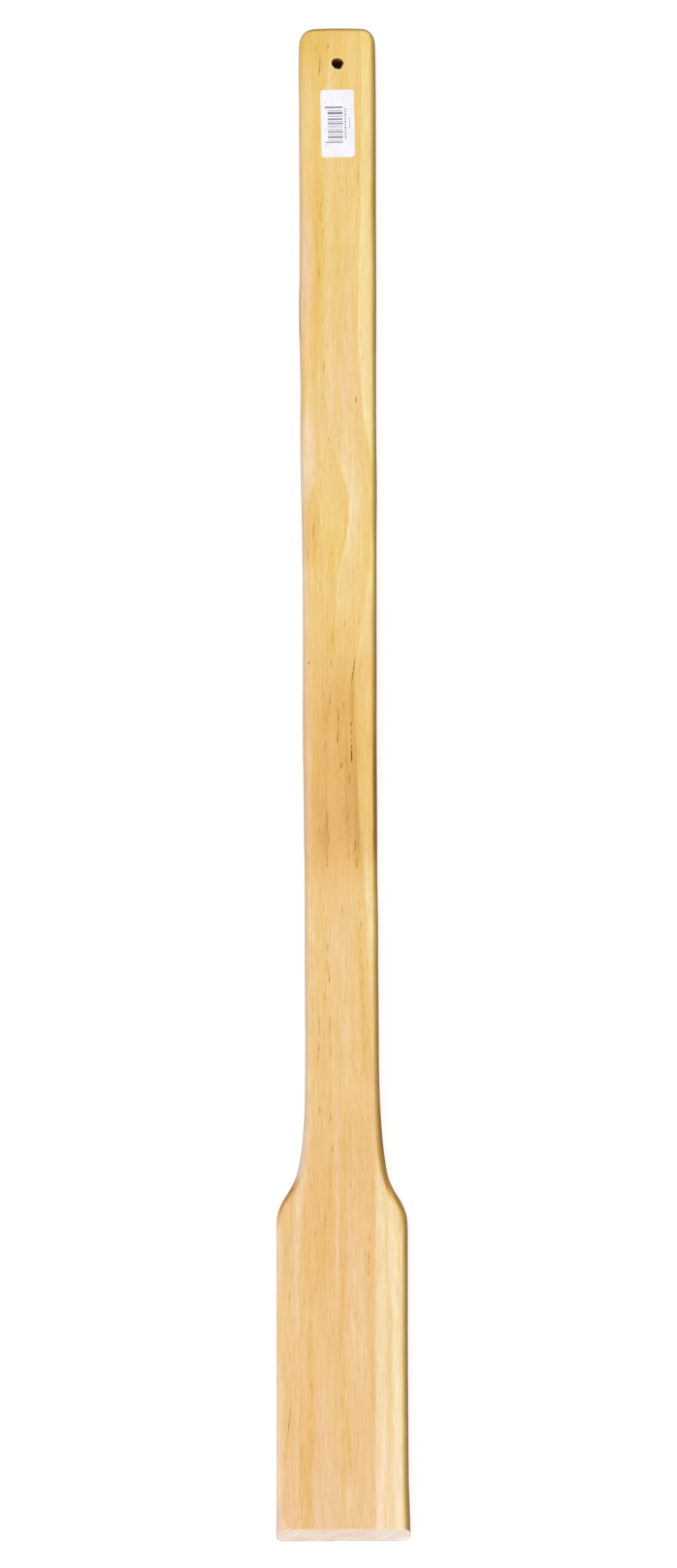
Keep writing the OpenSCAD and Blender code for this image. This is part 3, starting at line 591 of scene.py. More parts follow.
# ------------------------------------------------------------------ single marks on the front face
# Resin marks and small streaks: top x, top y, bottom x, bottom y in the photo, half width, strength
MARKS = [
    (332.6, 33, 332.3, 37, 0.9, 1.5), (339.5, 43, 339.0, 50, 1.2, 1.2), (326.3, 48, 326, 54, 1.1, 0.7), (337.6, 50, 337.4, 55, 0.9, 0.7),
    (331.0, 61, 330.2, 79, 0.8, 1.5), (336.6, 78, 336.0, 88, 0.7, 0.9), (354.4, 76, 354.0, 90, 0.7, 0.6), (360.2, 66, 359.8, 78, 0.7, 0.5),
    (350.5, 180, 350.1, 190, 1.3, 0.45), (353.9, 194, 353.5, 200, 1.3, 0.7), (370.2, 178, 369.9, 193, 0.9, 0.9), (331.8, 210, 331.5, 218, 0.9, 0.8),
    (331.5, 220, 331.0, 233, 1.1, 0.45), (334.2, 237, 333.8, 249, 0.8, 0.7), (315.1, 171, 314.9, 180, 0.9, 0.4), (335.3, 264, 334.8, 277, 0.7, 0.7),
    (331.0, 274, 329.4, 291, 1.1, 0.8), (349.9, 272, 349.4, 284, 1.1, 0.5), (333.5, 321, 333.2, 334, 0.9, 0.5), (352.2, 319, 351.9, 328, 0.9, 0.5),
    (357.2, 330, 356.9, 342, 0.8, 0.7), (352.6, 345, 352.2, 357, 1.0, 0.4), (321.0, 362, 320.6, 371, 0.8, 0.7), (335.2, 373, 334.4, 387, 0.8, 1.7),
    (323.5, 387, 323.2, 393, 1.5, 0.6), (361.2, 382, 360.8, 391, 0.8, 0.7), (367.2, 386, 366.8, 395, 0.9, 1.0), (333.9, 408, 333.6, 414, 1.0, 0.7),
    (368.2, 410, 367.8, 418, 1.0, 2.0), (360.2, 412, 359.8, 422, 0.8, 0.6), (370.2, 423, 369.5, 433, 0.8, 0.9), (350.9, 415, 350.7, 423, 0.7, 0.4),
    (337.6, 436, 337.4, 444, 0.8, 0.5), (346.0, 434, 345.7, 441, 0.9, 0.5), (355.9, 445.5, 355.7, 448.5, 1.0, 0.8), (340.2, 452, 339.8, 458, 1.0, 1.0),
    (344.3, 464, 344.1, 469, 1.1, 0.9), (345.4, 469, 345.1, 476, 0.8, 0.7), (330.1, 464, 329.8, 470, 0.9, 0.6), (331.8, 479, 331.5, 484, 1.2, 0.9),
    (363.1, 470, 362.9, 475, 1.1, 0.8), (378.0, 446, 380.6, 462, 0.7, 0.7), (381.0, 464, 380.6, 473, 1.8, 0.7), (371.0, 436, 374.5, 452, 0.6, 0.5),
    (327.7, 495, 327.2, 506, 0.8, 0.5), (324.2, 503, 323.8, 511, 2.0, 0.5), (349.1, 511, 348.8, 515, 1.2, 0.7), (344.2, 515, 343.9, 521, 0.8, 0.5),
    (319.6, 524, 319.4, 530, 0.9, 0.6), (324.9, 541, 323.4, 558, 0.7, 1.1), (342.7, 569, 342.3, 576, 1.0, 0.6), (345.2, 550, 344.9, 560, 0.7, 0.5),
    (354.9, 581, 354.6, 587, 0.9, 1.0), (351.5, 584, 351.1, 590, 0.8, 0.7), (369.7, 582, 369.3, 590, 1.0, 1.0), (378.9, 567, 377.9, 580, 0.8, 0.8),
    (352.0, 602, 351.5, 613, 0.7, 0.7), (350.8, 613, 350.2, 623, 0.7, 0.7), (364.7, 591, 364.4, 600, 0.9, 0.5), (356.9, 640, 356.4, 649, 0.8, 1.3),
    (371.2, 636, 369.4, 649, 0.8, 1.1), (345.4, 643, 345.1, 653, 0.8, 0.4), (344.2, 652, 342.6, 671, 2.4, 0.35), (362.7, 661, 362.2, 669, 1.1, 0.5),
    (319.3, 684.5, 319.1, 687.5, 0.9, 2.6), (342.3, 683, 342.1, 689, 1.2, 0.6), (367.0, 680, 363.4, 708, 1.0, 1.5), (335.9, 714, 335.6, 722, 0.9, 0.5),
    (341.5, 717, 341.0, 729, 0.7, 1.5), (355.7, 726, 355.3, 735, 0.7, 0.7), (336.2, 735, 335.8, 750, 0.7, 0.5), (350.3, 734, 349.7, 752, 0.7, 0.8),
    (349.5, 755, 348.9, 769, 0.9, 1.6), (363.0, 747, 362.9, 752, 0.8, 1.9), (362.9, 755, 362.8, 760, 0.7, 1.2), (363.0, 763, 363.0, 768, 0.6, 1.0),
    (363.3, 771, 363.6, 789, 1.0, 2.0), (336.4, 767, 336.0, 776, 0.8, 0.9), (353.2, 789, 352.7, 796, 1.3, 1.0), (358.1, 783, 357.9, 791, 0.8, 0.5),
    (361.4, 801, 361.1, 810, 0.8, 0.9), (359.3, 842, 359.0, 848, 0.9, 0.5), (338.4, 841, 337.8, 861, 0.8, 0.9), (340.3, 861, 339.7, 874, 0.7, 0.8),
    (338.7, 884, 338.2, 899, 0.8, 0.9), (367.5, 870, 367.0, 880, 1.2, 1.0), (360.6, 879, 360.3, 888, 0.8, 0.8), (368.8, 888, 368.4, 898, 0.9, 1.2),
    (322.9, 875, 322.6, 884, 0.8, 0.7), (354.3, 898, 354.0, 907, 0.8, 0.6), (346.3, 910, 346.0, 918, 0.9, 0.4), (353.9, 936, 353.2, 948, 0.8, 1.9),
    (370.9, 931, 370.6, 940, 0.9, 0.4), (378.5, 848, 378.1, 857, 0.9, 0.5), (373.3, 953, 372.8, 962, 0.9, 1.5), (326.8, 958, 326.5, 966, 1.1, 0.4),
    (349.1, 963, 348.9, 969, 1.2, 0.5), (363.6, 967, 363.0, 989, 0.8, 0.8), (372.4, 981, 372.0, 990, 1.0, 0.8), (380.1, 994, 379.8, 1003, 1.0, 1.0),
    (339.0, 976, 338.5, 984, 1.0, 1.3), (338.6, 988, 337.4, 1007, 0.9, 1.3), (374.3, 996, 374.0, 1005, 0.9, 0.4), (340.4, 996, 339.7, 1009, 0.8, 1.7),
    (340.8, 1009, 340.4, 1016, 0.9, 1.7), (375.3, 1011, 374.9, 1020, 0.9, 0.8), (337.4, 1012, 335.4, 1038, 0.7, 0.8), (329.3, 1014, 328.9, 1026, 0.9, 0.6),
    (320.4, 1027, 320.2, 1033, 0.9, 0.6), (357.6, 1026, 357.3, 1031, 1.2, 0.4), (356.1, 1033, 355.8, 1039, 1.2, 0.5), (376.5, 1036, 376.0, 1054, 0.9, 0.6),
    (341.0, 1043, 340.7, 1055, 0.8, 0.5), (336.0, 1043, 335.7, 1053, 0.7, 0.4), (330.6, 1052, 330.2, 1070, 0.8, 1.3), (341.9, 1050, 341.5, 1070, 0.8, 1.2),
    (348.4, 1065, 348.2, 1072, 1.2, 0.4), (330.2, 1080, 328.8, 1099, 0.8, 1.3), (342.4, 1080, 342.0, 1100, 0.8, 1.3), (376.8, 1078, 376.5, 1088, 0.9, 0.5),
    (366.0, 1078, 365.6, 1086, 0.9, 0.5), (330.9, 1144, 330.6, 1153, 0.8, 1.9), (342.2, 1151, 341.9, 1159, 0.9, 0.65), (360.6, 1155, 360.3, 1165, 0.8, 0.5),
    (362.7, 1162, 362.4, 1170, 0.9, 0.7), (343.8, 1186, 343.4, 1192, 1.0, 1.2), (347.0, 1219, 346.6, 1229, 0.8, 0.7), (362.9, 1217, 362.4, 1230, 0.9, 0.7),
    (347.9, 1204, 347.6, 1213, 0.9, 0.5), (364.2, 1241, 363.9, 1251, 0.9, 0.5), (394.2, 1242, 393.9, 1250, 1.0, 0.5), (316.6, 1243, 316.2, 1251, 0.9, 0.6),
    (336.8, 1254, 336.2, 1271, 0.9, 0.7), (308.2, 1263, 307.8, 1273, 1.6, 0.5), (326.2, 1273, 325.8, 1281, 1.0, 1.0), (316.2, 1264, 315.8, 1274, 0.8, 0.5),
    (382.0, 1273, 381.6, 1287, 0.8, 0.9), (381.3, 1294, 380.7, 1309, 0.9, 1.3), (380.8, 1311, 380.3, 1318, 1.0, 1.3), (296.6, 1288, 296.2, 1298, 0.9, 0.8),
    (413.5, 1260, 413.1, 1271, 0.9, 0.9), (300.3, 1337, 299.9, 1347, 0.9, 0.8), (368.3, 1353, 367.9, 1364, 1.0, 0.9), (381.3, 1350, 381.0, 1361, 0.9, 0.8),
    (345.1, 1330, 344.7, 1343, 0.8, 0.5), (357.3, 1386, 356.9, 1398, 0.9, 0.5), (322.4, 1427, 321.8, 1440, 1.7, 0.55), (301.2, 1456, 298.0, 1488, 0.8, 1.5),
    (341.3, 1416, 340.9, 1428, 0.8, 0.4), (374.2, 1444, 373.8, 1457, 0.9, 0.5), (295.2, 1503, 294.8, 1513, 0.9, 1.1), (331.2, 1510, 330.8, 1521, 1.0, 0.5),
    (340.2, 1529, 339.8, 1540, 0.9, 0.6), (339.2, 1541, 336.3, 1549, 1.0, 0.6), (367.5, 1529, 367.1, 1537, 1.0, 0.6), (370.2, 1538, 369.8, 1546, 0.9, 0.5),
    (395.2, 1542, 394.8, 1554, 1.1, 0.8), (398.4, 1558, 398.0, 1570, 0.9, 0.6), (299.3, 1540, 298.9, 1553, 1.1, 0.5), (358.4, 1546, 357.9, 1556, 1.0, 0.5),
    (295.7, 1549, 295.2, 1569, 0.7, 0.8), (309.4, 1569, 309.0, 1579, 0.9, 0.5), (404.3, 1480, 403.9, 1495, 0.8, 0.4), (391.6, 1390, 391.1, 1404, 0.8, 0.4),
    (311.4, 1497, 323.8, 1568, 1.6, 0.28), (357.0, 1463, 365.5, 1535, 1.8, 0.25),
]
rnd = np.random.default_rng(77)


def to_mm(mark):
    x0, y0, x1, y1, w, a = mark
    out = []
    for x, y in ((x0, y0), (x1, y1)):
        s = (1581 - y) * ALONG
        out += [(x - 348.1 - 0.00416 * (y - 58)) * ACROSS, s - float(bend(s - 4))]
    return out[2], out[3], out[0], out[1], w * ACROSS, a      # lower end first


front_marks = [to_mm(m) for m in MARKS]
back_marks = []
for _ in range(150):
    s0 = rnd.uniform(6, 1205)
    wid = 22 if s0 > 300 else 43
    x0 = rnd.uniform(-wid, wid)
    ln = rnd.choice([4.0, 7.0, 11.0, 18.0]) * rnd.uniform(0.7, 1.4)
    back_marks.append((x0, s0, x0 + rnd.normal() * 0.03 * ln, s0 + ln, rnd.uniform(0.5, 0.9), rnd.uniform(0.4, 1.5)))

LANES = 15
lane = np.zeros((LANES, len(v), 3), np.float32)
lane[:, :, 0:2] = 6.0


def lay_marks(marks, who):
    """Gives each mark a lane of its own stretch of rows, and writes how far each vertex is from it."""
    rows = np.unique(np.round(s_rows, 4))
    free = [[] for _ in range(LANES)]
    left_out = 0
    sv = v[who, 1]
    for mk in sorted(marks, key=lambda q: -q[5]):
        xa, sa, xb, sb, w, a = mk
        mid, half = (sa + sb) / 2, max(1.02 * (sb - sa) / 2, 1.2)
        w, a = max(0.66 * w, 0.33), 0.86 * a
        lo_i = np.searchsorted(rows, mid - 1.45 * half) - 1
        hi_i = np.searchsorted(rows, mid + 1.45 * half) + 1
        in_lo, in_hi = rows[max(lo_i, 0)], rows[min(hi_i, len(rows) - 1)]
        lo_s, hi_s = rows[max(lo_i - 3, 0)], rows[min(hi_i + 3, len(rows) - 1)]
        for n_lane in range(LANES):
            if all(hi_s < q[0] or lo_s > q[1] for q in free[n_lane]):
                free[n_lane].append((lo_s, hi_s))
                break
        else:
            left_out += 1
            continue
        on = who[(sv >= lo_s - 0.4) & (sv <= hi_s + 0.4)]
        s = v[on, 1]
        c = xa + (xb - xa) * (s - sa) / max(sb - sa, 0.1)
        lane[n_lane, on, 0] = (v[on, 0] - c) / w
        lane[n_lane, on, 1] = (s - mid) / half
        live = (s > in_lo - 0.4) & (s < in_hi + 0.4)
        lane[n_lane, on, 2] = np.where(live, a, 0.0)
    return left_out


front_ids = np.where((kind == 0) | ((kind == 2) & (depth < 7)))[0]
back_ids = np.where((kind == 1) | ((kind == 2) & (depth > 18.4)))[0]
missed = lay_marks(front_marks, front_ids), lay_marks(back_marks, back_ids)
print("marks left out:", missed)

# ------------------------------------------------------------------ mesh objects


def new_mesh(name, points_mm, quads_, mat_index, materials, attrs, sharp=math.radians(32)):
    me = bpy.data.meshes.new(name)
    pts = np.array(points_mm, float) * 0.001
    pts[:, 1] -= LEN / 2000
    me.from_pydata(pts.tolist(), [], [list(map(int, q)) for q in quads_])
    for m_ in materials:
        me.materials.append(m_)
    me.polygons.foreach_set("material_index", np.asarray(mat_index, np.int32))
    me.polygons.foreach_set("use_smooth", np.ones(len(me.polygons), bool))
    for key, val in attrs.items():
        val = np.asarray(val, np.float32)
        if val.ndim == 1:
            me.attributes.new(key, "FLOAT", "POINT").data.foreach_set("value", val)
        else:
            me.attributes.new(key, "FLOAT_VECTOR", "POINT").data.foreach_set("vector", val.ravel())
    me.update()
    me.set_sharp_from_angle(angle=sharp)
    ob = bpy.data.objects.new(name, me)
    bpy.context.scene.collection.objects.link(ob)
    return ob


# ------------------------------------------------------------------ materials
LIGHT = 1.27          # how bright a white, level surface is under this light


def lin(c):
    """An sRGB colour of 0 to 255 as linear numbers."""
    return tuple((x / 255 / 12.92) if x <= 10.3 else ((x / 255 + 0.055) / 1.055) ** 2.4 for x in c)


class Nodes:
    def __init__(self, name):
        self.m = bpy.data.materials.new(name)
        self.m.use_nodes = True
        self.t = self.m.node_tree
        self.t.nodes.clear()
        self.out = self.t.nodes.new("ShaderNodeOutputMaterial")
        self.bsdf = self.t.nodes.new("ShaderNodeBsdfPrincipled")
        self.t.links.new(self.bsdf.outputs[0], self.out.inputs[0])
        self.tc = self.t.nodes.new("ShaderNodeTexCoord")

    def _in(self, sock, val):
        if isinstance(val, bpy.types.NodeSocket):
            self.t.links.new(val, sock)
        elif isinstance(val, (tuple, list)):
            n = len(sock.default_value)
            sock.default_value = (tuple(val) + (1.0,))[:n]
        else:
            sock.default_value = val

    def set(self, name, val):
        self._in(self.bsdf.inputs[name], val)

    def math(self, op, a, b=0.0, c=0.0, clamp=False):
        n = self.t.nodes.new("ShaderNodeMath")
        n.operation, n.use_clamp = op, clamp
        for s_, v_ in zip(n.inputs, (a, b, c)):
            self._in(s_, v_)
        return n.outputs[0]

    def attr(self, name):
        n = self.t.nodes.new("ShaderNodeAttribute")
        n.attribute_name = name
        return n

    def scaled(self, sx, sy, sz, vec=None):
        n = self.t.nodes.new("ShaderNodeMapping")
        self._in(n.inputs[0], vec if vec is not None else self.tc.outputs["Object"])
        n.inputs["Scale"].default_value = (sx, sy, sz)
        n.inputs["Rotation"].default_value = (0.31, 0.47, 0.62)      # turns the noise's own lattice out of line
        return n.outputs[0]

    def noise(self, vec, scale=1.0, detail=2.0, rough=0.5, warp=0.0):
        n = self.t.nodes.new("ShaderNodeTexNoise")
        n.inputs["Scale"].default_value = scale
        n.inputs["Detail"].default_value = detail
        n.inputs["Roughness"].default_value = rough
        n.inputs["Distortion"].default_value = warp
        self._in(n.inputs["Vector"], vec)
        return n.outputs["Fac"] if "Fac" in n.outputs else n.outputs[0]

    def remap(self, val, a, b, c, d, kind="LINEAR"):
        n = self.t.nodes.new("ShaderNodeMapRange")
        n.interpolation_type = kind
        n.clamp = True
        for s_, v_ in zip(n.inputs, (val, a, b, c, d)):
            self._in(s_, v_)
        return n.outputs[0]

    def ramp(self, fac, stops):
        n = self.t.nodes.new("ShaderNodeValToRGB")
        self._in(n.inputs[0], fac)
        el = n.color_ramp.elements
        while len(el) < len(stops):
            el.new(0.5)
        for e_, (p_, c_) in zip(el, stops):
            e_.position = p_
            e_.color = (*c_, 1.0)
        return n.outputs[0]

    def mix(self, fac, a, b, mode="MIX"):
        n = self.t.nodes.new("ShaderNodeMix")
        n.data_type = "RGBA"
        n.blend_type = mode
        n.clamp_factor = True
        self._in(n.inputs[0], fac)
        self._in(n.inputs[6], a)
        self._in(n.inputs[7], b)
        return n.outputs[2]

    def scale(self, col, fac):
        n = self.t.nodes.new("ShaderNodeVectorMath")
        n.operation = "SCALE"
        self._in(n.inputs[0], col)
        self._in(n.inputs["Scale"], fac)
        return n.outputs[0]

    def bump(self, height, distance, strength=1.0):
        n = self.t.nodes.new("ShaderNodeBump")
        n.inputs["Strength"].default_value = strength
        n.inputs["Distance"].default_value = distance
        self._in(n.inputs["Height"], height)
        self._in(self.bsdf.inputs["Normal"], n.outputs[0])


TONES = [(-3.0, (92, 54, 28)), (-2.2, (146, 96, 46)), (-1.5, (196, 141, 72)), (-1.0, (221, 168, 92)), (-0.8, (229, 181, 104)),
         (-0.4, (236, 190, 121)), (0.0, (238, 198, 140)), (0.5, (242, 209, 163)), (1.0, (247, 221, 185)), (1.5, (250, 231, 203))]


def tones(dg, db, dr=0):
    return [((t + 3.0) / 4.5, tuple(x / LIGHT for x in lin((c[0] + dr, c[1] + dg, c[2] + db)))) for t, c in TONES]


def pine():
    n = Nodes("pine_finished")
    fibre = n.noise(n.scaled(900, 58, 900), 1, 3, 0.52)
    broad = n.noise(n.scaled(280, 7, 280), 1, 3, 0.5, 0.2)
    fleck = n.noise(n.scaled(1500, 95, 1500), 1, 2, 0.45)
    cloud = n.noise(n.scaled(34, 9, 34), 1, 2, 0.5)
    dense = n.remap(n.noise(n.scaled(120, 14, 120), 1, 2, 0.5), 0.35, 0.65, 0.25, 1.2)
    streak = n.noise(n.scaled(490, 29, 490), 1, 2, 0.5)
    amp, fig = n.attr("amp").outputs["Fac"], n.attr("fig").outputs["Fac"]
    t = n.math("MULTIPLY", n.math("SUBTRACT", fibre, 0.5), 1.5)
    t = n.math("MULTIPLY_ADD", n.math("SUBTRACT", streak, 0.5), 0.8, t)
    fine = n.math("MULTIPLY", t, amp)
    t = n.math("MULTIPLY_ADD", fine, 0.55, n.attr("tone").outputs["Fac"])
    t = n.math("MULTIPLY_ADD", n.math("MULTIPLY", n.math("SUBTRACT", broad, 0.5), 0.85), n.math("MULTIPLY", fig, amp), t)
    t = n.math("MULTIPLY_ADD", n.math("SUBTRACT", cloud, 0.5), 0.36, t)
    pores = n.math("MULTIPLY", n.remap(fleck, 0.57, 0.74, 0.0, 1.0, "SMOOTHSTEP"), n.math("MULTIPLY", dense, amp))
    t = n.math("MULTIPLY_ADD", pores, -0.72, t)
    marks = None
    for k in range(LANES):
        sep = n.t.nodes.new("ShaderNodeSeparateXYZ")
        n.t.links.new(n.attr(f"mark{k}").outputs["Vector"], sep.inputs[0])
        u2 = n.math("MULTIPLY", sep.outputs[0], sep.outputs[0])
        v2 = n.math("MULTIPLY", sep.outputs[1], sep.outputs[1])
        q = n.math("MULTIPLY_ADD", v2, v2, u2)
        f = n.math("MULTIPLY", n.math("EXPONENT", n.math("MULTIPLY", q, -1.0)), sep.outputs[2])
        marks = f if marks is None else n.math("ADD", marks, f)
    broken = n.remap(n.noise(n.scaled(700, 330, 700), 1, 2, 0.5), 0.3, 0.62, 0.35, 1.35)
    marks = n.math("MULTIPLY", marks, broken)
    t = n.math("SUBTRACT", t, marks)
    # end grain under the finish on the handle's end
    edge = n.attr("level").outputs["Fac"]
    top = n.attr("top").outputs["Fac"]
    turned = n.t.nodes.new("ShaderNodeMapping")
    n.t.links.new(n.tc.outputs["Object"], turned.inputs[0])
    turned.inputs["Rotation"].default_value = (0, math.radians(-38), 0)
    years = n.noise(n.scaled(430, 14, 30, turned.outputs[0]), 1, 3, 0.55, 0.15)
    cells = n.noise(n.scaled(1150, 60, 1150), 1, 3, 0.6)
    grain = n.math("MULTIPLY_ADD", n.math("SUBTRACT", cells, 0.5), 1.3, n.math("MULTIPLY", n.math("SUBTRACT", years, 0.5), 1.6))
    t = n.math("MULTIPLY_ADD", grain, n.math("MULTIPLY", top, n.remap(edge, 0.45, 0.9, 0.0, 1.0)), t)
    fac = n.math("MULTIPLY_ADD", t, 1 / 4.5, 3.0 / 4.5, clamp=True)
    pink = n.ramp(fac, tones(-3.2, 6.5, -2))
    gold = n.ramp(fac, tones(12.5, -11, 1.4))
    hue = n.noise(n.scaled(260, 12, 260), 1, 2, 0.5)
    w = n.math("MULTIPLY_ADD", n.math("SUBTRACT", hue, 0.5), 0.55, n.attr("warm").outputs["Fac"])
    w = n.math("MULTIPLY_ADD", w, 1 / 2.1, 0.5 / 2.1, clamp=True)
    col = n.scale(n.mix(w, pink, gold), n.math("MULTIPLY_ADD", fine, 0.105, 1.0))
    # rounded edges: painted light and shade, a pale painted sheen on the left and brown painted shade on the right,
    # with a worn, uneven line along the arris
    edge_band_wobble = n.remap(n.noise(n.scaled(160, 22, 160), 1, 3, 0.6), 0.3, 0.7, 0.75, 1.1)
    e = n.math("MULTIPLY", n.remap(edge, 0.0, 0.9, 0.0, 1.0), edge_band_wobble, clamp=True)
    side = n.remap(n.attr("side").outputs["Fac"], -1.0, 1.0, 0.0, 1.0)
    # pale: painted sheen on the left rounding, where the finish would reflect the light
    pale = n.ramp(e, [(0.0, (1, 1, 1)), (0.2, (0.95, 0.95, 0.98)), (0.4, (0.92, 0.93, 1.08)), (0.66, (0.93, 0.965, 1.23)), (0.85, (0.95, 0.98, 1.13)), (1.0, (0.96, 0.97, 1.01))])
    # brown: painted shade on the right rounding, which turns away from the light
    brown = n.ramp(e, [(0.0, (1, 1, 1)), (0.05, (0.975, 0.965, 0.84)), (0.13, (0.95, 0.89, 0.58)), (0.23, (0.95, 0.86, 0.50)), (0.34, (0.92, 0.79, 0.42)), (0.46, (0.76, 0.61, 0.28)), (0.6, (0.62, 0.48, 0.20)), (0.78, (0.63, 0.50, 0.26)), (1.0, (0.72, 0.60, 0.38))])
    # the brown painted shade is strongest on the front's rounding, and the rest of the right side gets an even, milder
    # painted shade
    under = n.t.nodes.new("ShaderNodeSeparateXYZ")
    n.t.links.new(n.tc.outputs["Object"], under.inputs[0])
    under = n.remap(under.outputs[2], 0.007, 0.0135, 1.0, 0.0, "SMOOTHSTEP")
    even = n.ramp(e, [(0.0, (1, 1, 1)), (0.4, (0.93, 0.86, 0.66)), (1.0, (0.73, 0.61, 0.40))])
    brown = n.mix(under, brown, even)
    # grey: painted shade with a bluish painted sheen on the rounding of the handle's end
    grey = n.ramp(e, [(0.0, (1, 1, 1)), (0.12, (0.89, 0.87, 1.02)), (0.32, (0.84, 0.82, 1.36)), (0.55, (0.80, 0.79, 1.40)), (0.78, (0.81, 0.77, 0.98)), (1.0, (0.88, 0.81, 0.78))])
    col = n.mix(1.0, col, n.mix(top, n.mix(side, pale, brown), grey), "MULTIPLY")
    dark_line_noise = n.remap(n.noise(n.scaled(420, 45, 420), 1, 3, 0.6), 0.3, 0.6, 0.6, 1.15)
    dark_line_noise = n.math("MULTIPLY", n.attr("dark_edge_line").outputs["Fac"], dark_line_noise, clamp=True)
    col = n.mix(dark_line_noise, col, (0.16, 0.145, 0.13))
    # lift: painted light on the left edge of the blade
    col = n.mix(n.attr("lift").outputs["Fac"], col, n.mix(1.0, col, (1.18, 1.15, 0.88), "MULTIPLY"))
    worn = n.remap(n.noise(n.scaled(700, 60, 700), 1, 3, 0.6), 0.46, 0.72, 0.0, 0.5)
    line = n.math("MULTIPLY", n.attr("arris").outputs["Fac"], worn)
    col = n.mix(line, col, n.mix(1.0, col, (0.78, 0.70, 0.60), "MULTIPLY"))
    n.set("Base Color", col)
    rough = n.math("MULTIPLY_ADD", n.math("SUBTRACT", fibre, 0.5), 0.22, 0.46)
    rough = n.math("MULTIPLY_ADD", n.math("SUBTRACT", cloud, 0.5), 0.12, rough)
    rough = n.math("MULTIPLY_ADD", e, 0.06, rough)
    n.set("Roughness", rough)
    n.set("Specular IOR Level", 0.2)
    h = n.math("MULTIPLY_ADD", fibre, 0.6, n.math("MULTIPLY", broad, 0.5))
    h = n.math("MULTIPLY_ADD", pores, -0.35, h)
    h = n.math("MULTIPLY_ADD", marks, -0.4, h)
    n.bump(h, 0.00012, 0.5)
    return n.m


def end_grain():
    n = Nodes("pine_end_raw")
    # rings cross the end face on a slant
    turned = n.t.nodes.new("ShaderNodeMapping")
    n.t.links.new(n.tc.outputs["Object"], turned.inputs[0])
    turned.inputs["Rotation"].default_value = (0, math.radians(-38), 0)
    turned.inputs["Scale"].default_value = (1, 1, 1)
    rings_ = n.noise(n.scaled(210, 12, 16, turned.outputs[0]), 1, 3, 0.55, 0.15)
    cells = n.noise(n.scaled(1700, 60, 1700), 1, 3, 0.6)
    saw = n.noise(n.scaled(620, 10, 26), 1, 2, 0.5)
    soot = n.noise(n.scaled(60, 40, 90), 1, 3, 0.6)
    t = n.math("MULTIPLY_ADD", n.math("SUBTRACT", rings_, 0.5), 0.8, 0.56)
    t = n.math("MULTIPLY_ADD", n.math("SUBTRACT", cells, 0.5), 0.5, t)
    t = n.math("MULTIPLY_ADD", n.math("SUBTRACT", soot, 0.5), 0.4, t)
    sep = n.t.nodes.new("ShaderNodeSeparateXYZ")
    n.t.links.new(n.tc.outputs["Object"], sep.inputs[0])
    t = n.math("ADD", t, n.remap(sep.outputs[0], 0.018, 0.036, 0.0, 0.12, "SMOOTHSTEP"))
    k = 1.2
    col = n.ramp(t, [(0.0, tuple(x / k for x in lin((198, 158, 130)))), (0.3, tuple(x / k for x in lin((222, 194, 172)))),
                     (0.55, tuple(x / k for x in lin((235, 215, 200)))), (0.8, tuple(x / k for x in lin((243, 230, 219)))),
                     (1.0, tuple(x / k for x in lin((252, 243, 234))))])
    # painted shade along the bottom of the end face, next to the floor
    low = n.remap(sep.outputs[2], 0.0003, 0.0022, 1.0, 0.0, "SMOOTHSTEP")
    col = n.mix(n.math("MULTIPLY", low, 0.5), col, n.mix(1.0, col, (0.70, 0.68, 0.66), "MULTIPLY"))
    high = n.remap(sep.outputs[2], 0.0225, 0.0252, 0.0, 1.0, "SMOOTHSTEP")
    col = n.mix(n.math("MULTIPLY", high, 0.8), col, n.mix(1.0, col, (0.98, 0.94, 0.86), "MULTIPLY"))
    n.set("Base Color", col)
    n.set("Roughness", n.math("MULTIPLY_ADD", cells, 0.12, 0.78))
    n.set("Specular IOR Level", 0.2)
    h = n.math("MULTIPLY_ADD", cells, 0.7, n.math("MULTIPLY", saw, 0.6))
    n.bump(h, 0.00025, 0.7)
    return n.m


def bore_wall():
    n = Nodes("pine_bore")
    scorch = n.noise(n.scaled(260, 160, 420), 1, 3, 0.6)
    fine = n.noise(n.scaled(1200, 1200, 320), 1, 2, 0.5)
    sep = n.t.nodes.new("ShaderNodeSeparateXYZ")
    n.t.links.new(n.tc.outputs["Object"], sep.inputs[0])
    # painted shade: the wall darkens with depth down the bore and is lighter just under the rim; scorch adds the
    # drill's burn
    deep_ = n.remap(sep.outputs[2], 0.0252, 0.0125, 0.0, 1.0, "SMOOTHSTEP")
    t = n.math("MULTIPLY_ADD", deep_, -0.74, 0.74)
    t = n.math("MULTIPLY_ADD", n.math("SUBTRACT", scorch, 0.5), 0.5, t)
    t = n.math("ADD", t, n.remap(sep.outputs[2], 0.0243, 0.0249, 0.0, 0.2))
    t = n.math("MULTIPLY_ADD", n.math("SUBTRACT", fine, 0.5), 0.3, t, clamp=True)
    col = n.ramp(t, [(0.0, lin((22, 5, 3))), (0.2, lin((38, 14, 7))), (0.36, lin((58, 26, 9))), (0.62, lin((112, 58, 26))), (0.8, lin((160, 106, 60))), (1.0, lin((212, 164, 108)))])
    n.set("Base Color", col)
    n.set("Roughness", n.math("MULTIPLY_ADD", fine, 0.15, 0.78))
    n.set("Specular IOR Level", 0.04)
    n.bump(n.math("ADD", scorch, fine), 0.0002, 0.6)
    return n.m


